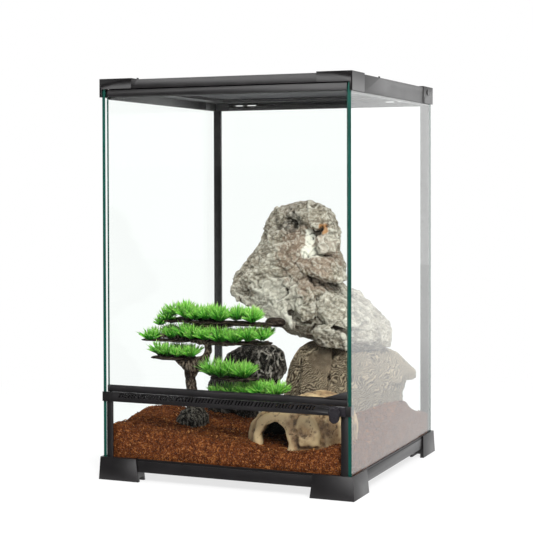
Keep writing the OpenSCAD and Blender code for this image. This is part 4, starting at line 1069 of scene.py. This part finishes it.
class TERRARIUM_OT_cave(bpy.types.Operator):
    """Carves the cast cave: smooth swelling lumps, with painted shade where they meet"""
    bl_idname = "terrarium.cave"
    bl_label = "Cave"

    def execute(self, context):
        cave = Skin("cave_hide", "cast_cave", 1.2, 22)
        points = cave.points
        crease = smooth_step(0.86, 0.98, ridges(points, 17, 4, 135))
        lift = 1.8 * rough_noise(points, 16, 3, 133) + 0.4 * rough_noise(points, 3.6, 3, 134)
        cave.carve(np.clip(lift + 0.5 - 0.7 * crease, -3, 2))
        broad = cave.sunken(60)
        inwards = unit((64, -80, 45) - cave.points)
        facing_in = smooth_step(0.1, 0.5, (cave.normals * inwards).sum(axis=1))
        # hollow and inside are painted shade, in the hollows and creases and inside the mouth; crest is a
        # painted highlight on the swells
        cave.dress_in(
            "Stained cast resin, painted shade and highlights",
            hollow=(0.5 * smooth_step(0.05, 0.3, cave.sunken(6)) + 0.95 * smooth_step(0.6, 2.2, broad)
                    + 0.35 * crease),
            crest=smooth_step(0.2, 1.6, -broad),
            inside=facing_in * smooth_step(-114, -106, cave.points[:, 1]))
        return {"FINISHED"}


# ---- Tree ----

BRANCHES = [
    (-78, -88, 156, 26, 8, 1.6), (-30, -80, 155, 30, 11, 2.6), (4, -84, 155, 32, 9, 2.0),
    (-64, -68, 157, 26, 8, 1.6), (30, -70, 157, 12, 9, 5.0), (-100, -88, 134, 31, 7, 1.6),
    (-62, -76, 135, 34, 11, 2.0), (-6, -84, 133, 36, 11, 2.4), (-92, -70, 137, 26, 7, 1.6),
    (-96, -90, 113, 22, 8, 2.0), (-100, -78, 112, 20, 7, 1.6), (-80, -84, 113, 16, 8, 3.0),
    (-12, -88, 93, 28, 10, 1.8), (-14, -76, 91, 24, 9, 1.6), (2, -68, 72, 42, 13, 2.0),
]  # middle (x, y, height over the floor glass), then half length, half width and half thickness


def flat_branch(x, y, z, long, wide, thick, rng):
    """An ellipsoid drawn out along X, with squared ends and an uneven skin: rings of points and two poles."""
    rings, around = 14, 28
    u = np.linspace(0, 2 * np.pi, around, endpoint=False)[None, :]
    v = np.linspace(0.04, 0.96, rings)[:, None] * np.pi
    far, near = [np.sign(value) * np.abs(value) ** 0.7 for value in (np.cos(v), np.sin(v))]
    turn = rng.uniform(-0.16, 0.16)
    flat = xyz(-long * far + 0 * u, wide * near * np.cos(u), thick * near * np.sin(u)).reshape(-1, 3)
    flat[:, 1] += 0.12 * flat[:, 0] * np.sin(turn * 9)
    flat[:, 2] += 0.05 * np.abs(flat[:, 0]) * rng.uniform(-1, 1)
    flat = bent(flat + (x, y, z + FLOOR_TOP), 0.9, 6, 1, 151)
    ring = np.arange(around)
    beside = np.roll(ring, -1)
    start = len(flat)
    last = start - around
    caps = np.concatenate([
        np.stack([np.full(around, start), beside, ring, ring], axis=1),
        np.stack([np.full(around, start + 1), last + ring, last + beside, last + beside], axis=1)])
    ends = np.stack([flat[:around].mean(axis=0), flat[-around:].mean(axis=0)])
    return np.concatenate([flat, ends]), np.concatenate([grid_faces(rings, around, wrap=True), caps])


class TERRARIUM_OT_trunk(bpy.types.Operator):
    """Carves bark into the trunk and limbs, and adds the flat branches under the leaves"""
    bl_idname = "terrarium.trunk"
    bl_label = "Trunk and branches"

    def execute(self, context):
        limbs = Skin("bonsai_trunk", "tree_limbs", 0.9, 4)
        points = limbs.points

        def ball(centre, reach):
            return np.exp(-((points - centre) ** 2).sum(axis=1) / (2 * reach ** 2))

        drawn = points * (1, 1, 0.35) + 1.5 * soft_noise(points, 7, 140)[:, None]
        burl = ball([-68, -80, 125], 9)
        hole = ball([-74, -88, 111], 4)
        limbs.carve(0.8 * ridges(drawn, 3.4, 3, 141) + 1.1 * rough_noise(points, 9, 2, 142)
                    + 3 * burl - 5 * hole)
        fine = limbs.sunken(4)
        # hollow is painted shade in the cracks and the knot hole; crest is a painted highlight
        limbs.dress_in(
            "Painted bark",
            hollow=0.8 * smooth_step(0.02, 0.3, fine) + 1.2 * hole,
            crest=smooth_step(0.1, 0.4, -fine))

        rng = np.random.default_rng(9)
        points, faces = join_shapes([flat_branch(*sizes, rng) for sizes in BRANCHES])
        hollow = smooth_step(0.1, 0.8, -rough_noise(points * (0.3, 1, 1), 3, 2, 161))
        piece = new_piece("flat_branches", points, faces, [finish_of("Painted bark")],
                          values={"hollow": hollow})
        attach(piece, "tank")
        return {"FINISHED"}


def tuft_roots(front_row, y_mid, half_y, rng):
    """Roots of a pad's tufts: the front row as given, x and height, and three rows behind it, set between."""
    front = np.array(front_row, float)

    def row(x, share, height, spread):
        return np.stack([x, np.full(len(x), y_mid + share * half_y), height, spread], axis=1)

    rows = [row(front[:, 0], -0.5, front[:, 1], front[:, 2])]
    for step, share in enumerate([-0.12, 0.26, 0.62]):
        x = np.arange(front[0, 0] + 6 * (step + 1), front[-1, 0] - 3 * step, 17.0) + (step % 2) * 7
        rows.append(row(x, share, np.interp(x, front[:, 0], front[:, 1]), np.full(len(x), 15.0)))
    roots = np.concatenate(rows)
    for axis, (low, high) in enumerate([(-2, 2), (-2.5, 2.5), (-0.8, 1.2)]):
        roots[:, axis] += rng.uniform(low, high, len(roots))
    return roots


def leaves(front_row, y_mid, half_y, seed):
    """Tufts of narrow leaves, each tuft a fan that opens upwards from one root.

    Each leaf is a triangle carried along a line that leaves the root at a slant of up to 69 degrees, droops
    with the square of its length and of its slant, is widest at a third and narrows to a point."""
    rng = np.random.default_rng(seed)
    tufts = tuft_roots(front_row, y_mid, half_y, rng)
    leaves_per_tuft = 58
    tuft = np.repeat(np.arange(len(tufts)), leaves_per_tuft)
    count = len(tuft)
    heading = rng.uniform(0, 2 * np.pi, count)
    slant = np.radians(3 + 66 * rng.random(count) ** 0.8)
    direction = xyz(np.sin(slant) * np.cos(heading), np.sin(slant) * np.sin(heading), np.cos(slant))
    length = length_of("leaf_length") * tufts[tuft, 3] / 16 * rng.uniform(0.72, 1.12, count)
    spread = rng.uniform(0, 1, (count, 1)) ** 0.5 * 2.6
    root = tufts[tuft, :3] + xyz(np.cos(heading), np.sin(heading), np.zeros(count)) * spread
    root[:, 2] += rng.uniform(-0.5, 2.0, count)
    t = np.array([0.0, 0.35, 0.7, 1.0])
    line = root[:, None] + direction[:, None] * (length[:, None] * t)[:, :, None]
    line[:, :, 2] += (length * np.sin(slant))[:, None] * (0.1 * t - 0.12 * t ** 2)
    side = unit(np.cross(direction, rng.normal(size=(count, 3))))
    over = np.cross(side, direction)
    width = length_of("leaf_width") * rng.uniform(0.8, 1.25, count)
    taper = np.array([0.6, 1.0, 0.72])
    reach = (width[:, None] * taper)[:, :, None] * 1.15 / 2
    rings = tube_points(line[:, :3], side[:, None] * reach, 0.45 * over[:, None] * reach)
    points = np.concatenate([rings.reshape(count, 9, 3), line[:, 3:4]], axis=1)
    tip = np.array([[7, 6, 9, 9], [8, 7, 9, 9], [6, 8, 9, 9]])
    points, faces = repeated(points, np.concatenate([tube_faces(3)[:-1], tip]))
    # along: 0 at a leaf's root to 0.75 at its tip, for painted shade at the root and painted light at the tip
    along = np.tile(np.concatenate([np.repeat(t[:3], 3), [1.0]]) * 0.75, count)
    tone = np.repeat(np.clip(0.8 * rng.random(count) ** 1.3 + 0.3 * rng.random(len(tufts))[tuft], 0, 1), 10)
    return points + (0, 0, FLOOR_TOP), faces, {"along": along, "tone": tone}


PADS = {
    "foliage_top": ([(-103, 152, 12), (-94, 157, 16), (-84, 164, 15), (-72, 160, 20), (-58, 160, 15),
                     (-45, 160, 17), (-28, 158, 20), (-8, 160, 18), (10, 158, 18)], -80, 26),
    "foliage_middle": ([(-118, 134, 16), (-90, 138, 14), (-74, 139, 18), (-61, 137, 18), (-47, 136, 17),
                        (-30, 135, 20), (-10, 135, 18), (8, 138, 18), (24, 139, 15)], -80, 28),
    "foliage_left": ([(-105, 118, 17), (-93, 115, 18), (-80, 116, 11), (-66, 117, 14)], -84, 18),
    "foliage_right": ([(-38, 97, 22), (-26, 95, 22), (-12, 96, 22), (4, 97, 20)], -86, 18),
    "foliage_low": ([(-38, 73, 15), (-22, 72, 19), (-4, 73, 19), (14, 74, 20), (32, 75, 19)], -68, 18),
}  # front row of tufts (x, height over the floor glass, leaf length), then the pad's middle y and half depth


class TERRARIUM_OT_leaves(bpy.types.Operator):
    """Grows the tree's five pads of narrow leaves"""
    bl_idname = "terrarium.leaves"
    bl_label = "Leaves"

    def execute(self, context):
        for seed, (node, (front_row, y_mid, half_y)) in enumerate(PADS.items()):
            points, faces, values = leaves(front_row, y_mid, half_y, seed + 20)
            settle(new_piece(node.replace("foliage", "leaves"), points, faces,
                             [finish_of("Soft green plastic")], values=values), node)
        return {"FINISHED"}


# ---- Stage ----

def soft_lamp(name, place, target, width, height, watts, in_gloss=True, in_matt=True):
    """A rectangular lamp that points at a target and never shows itself to the camera."""
    lamp = with_settings(
        bpy.data.lights.new(name, "AREA"), shape="RECTANGLE", size=width, size_y=height, energy=watts)
    turn = (Vector(target) - Vector(place)).to_track_quat("-Z", "Y").to_euler()
    with_settings(
        place_object(name, lamp), location=place, rotation_euler=turn, visible_camera=False,
        visible_transmission=False, visible_glossy=in_gloss, visible_diffuse=in_matt)


def white_surroundings():
    """White all round where it is looked at; dim to the front in gloss, and an even soft light elsewhere."""
    world = bpy.data.worlds.new("White studio")
    bpy.context.scene.world = world
    world.use_nodes = True
    tree = world.node_tree
    tree.nodes.clear()
    path = add(tree, "LightPath").outputs
    direction = add(tree, "SeparateXYZ", {"Vector": add(tree, "TexCoord").outputs["Generated"]}).outputs
    walls = ranged(tree, direction["Y"], (-0.35, 0.05), (0.03, 1.0), "SMOOTHSTEP")
    low = ranged(tree, direction["Z"], (0.08, 0.3), (1.5, 0.9))
    gloss = compute(tree, "MAXIMUM", path["Is Glossy Ray"], path["Is Transmission Ray"])
    lit = mixed(tree, gloss, 0.42, compute(tree, "MULTIPLY", walls, low))
    direct = compute(tree, "LESS_THAN", path["Glossy Depth"], 0.5)
    through = compute(tree, "MULTIPLY", path["Is Transmission Ray"], direct)
    seen = compute(tree, "MAXIMUM", path["Is Camera Ray"], through)
    background = add(tree, "Background", {"Color": "#ffffff", "Strength": mixed(tree, seen, lit, 1.0)})
    add(tree, "OutputWorld", {"Surface": background.outputs[0]})


class TERRARIUM_OT_stage(bpy.types.Operator):
    """Sets the camera, the lamps, the white surroundings and the floor"""
    bl_idname = "terrarium.stage"
    bl_label = "Stage"

    def execute(self, context):
        scene = context.scene
        scene.view_settings.view_transform = "Standard"
        camera = with_settings(
            bpy.data.cameras.new("Camera"), lens=94.59, sensor_width=36, sensor_fit="HORIZONTAL",
            shift_y=-0.1044, clip_end=50)
        pose = Matrix.Translation((0.63357, -1.52694, 0.3322))
        for degrees, axis in [(22.862, "Z"), (88.892, "X"), (-0.148, "Z")]:
            pose = pose @ Matrix.Rotation(math.radians(degrees), 4, axis)
        scene.camera = with_settings(place_object("Camera", camera), matrix_world=pose)

        white_surroundings()
        soft_lamp("Key light", (1.15, -1.65, 1.45), (0, 0, 0.2), 0.8, 0.8, 60, in_gloss=False)
        soft_lamp("Front light", (-0.42, -1.75, 0.86), (-0.1, 0, 0.5), 1.2, 1.0, 18, in_matt=False)
        soft_lamp("Top light", (-0.2, 0.1, 2.2), (0, 0, 0.2), 1.6, 1.6, 20, in_gloss=False)

        half_floor = 4.0
        corners = half_floor / MM * np.array([[-1, -1, 0], [1, -1, 0], [1, 1, 0], [-1, 1, 0]])
        new_piece("studio_floor", corners, np.array([[0, 1, 2, 3]]), [finish_of("Matt white floor")],
                           smooth=False)
        return {"FINISHED"}


# ---- Sidebar ----

class TERRARIUM_PT_sidebar(bpy.types.Panel):
    """Sizes, colours and the steps that make the terrarium's looks"""
    bl_idname = "TERRARIUM_PT_sidebar"
    bl_label = "Terrarium"
    bl_space_type = "VIEW_3D"
    bl_region_type = "UI"
    bl_category = "Terrarium"

    def draw(self, context):
        for group in (context.scene.terrarium_sizes, context.scene.terrarium_colours):
            box = self.layout.box()
            for key in group.__annotations__:
                box.prop(group, key)
        for operator in OPERATORS:
            self.layout.operator(operator.bl_idname)


OPERATORS = [
    TERRARIUM_OT_stage, TERRARIUM_OT_mouldings, TERRARIUM_OT_small_metal, TERRARIUM_OT_meshes,
    TERRARIUM_OT_panes, TERRARIUM_OT_soil, TERRARIUM_OT_chips, TERRARIUM_OT_tall_stone,
    TERRARIUM_OT_low_stone, TERRARIUM_OT_dark_stones, TERRARIUM_OT_cave, TERRARIUM_OT_trunk,
    TERRARIUM_OT_leaves,
]


def register():
    """Makes the sizes, the colours, the operators and the panel known to Blender."""
    for item in [TerrariumSizes, TerrariumColours, *OPERATORS, TERRARIUM_PT_sidebar]:
        bpy.utils.register_class(item)
    bpy.types.Scene.terrarium_sizes = PointerProperty(type=TerrariumSizes)
    bpy.types.Scene.terrarium_colours = PointerProperty(type=TerrariumColours)


def unregister():
    """Takes them away again."""
    del bpy.types.Scene.terrarium_colours
    del bpy.types.Scene.terrarium_sizes
    for item in [TERRARIUM_PT_sidebar, *reversed(OPERATORS), TerrariumColours, TerrariumSizes]:
        bpy.utils.unregister_class(item)


def main():
    """Makes every piece in order."""
    register()
    bpy.ops.terrarium.stage()
    bpy.ops.terrarium.mouldings()
    bpy.ops.terrarium.small_metal()
    bpy.ops.terrarium.meshes()
    bpy.ops.terrarium.panes()
    bpy.ops.terrarium.soil()
    bpy.ops.terrarium.chips()
    bpy.ops.terrarium.tall_stone()
    bpy.ops.terrarium.low_stone()
    bpy.ops.terrarium.dark_stones()
    bpy.ops.terrarium.cave()
    bpy.ops.terrarium.trunk()
    bpy.ops.terrarium.leaves()


if __name__ == "__main__":
    main()
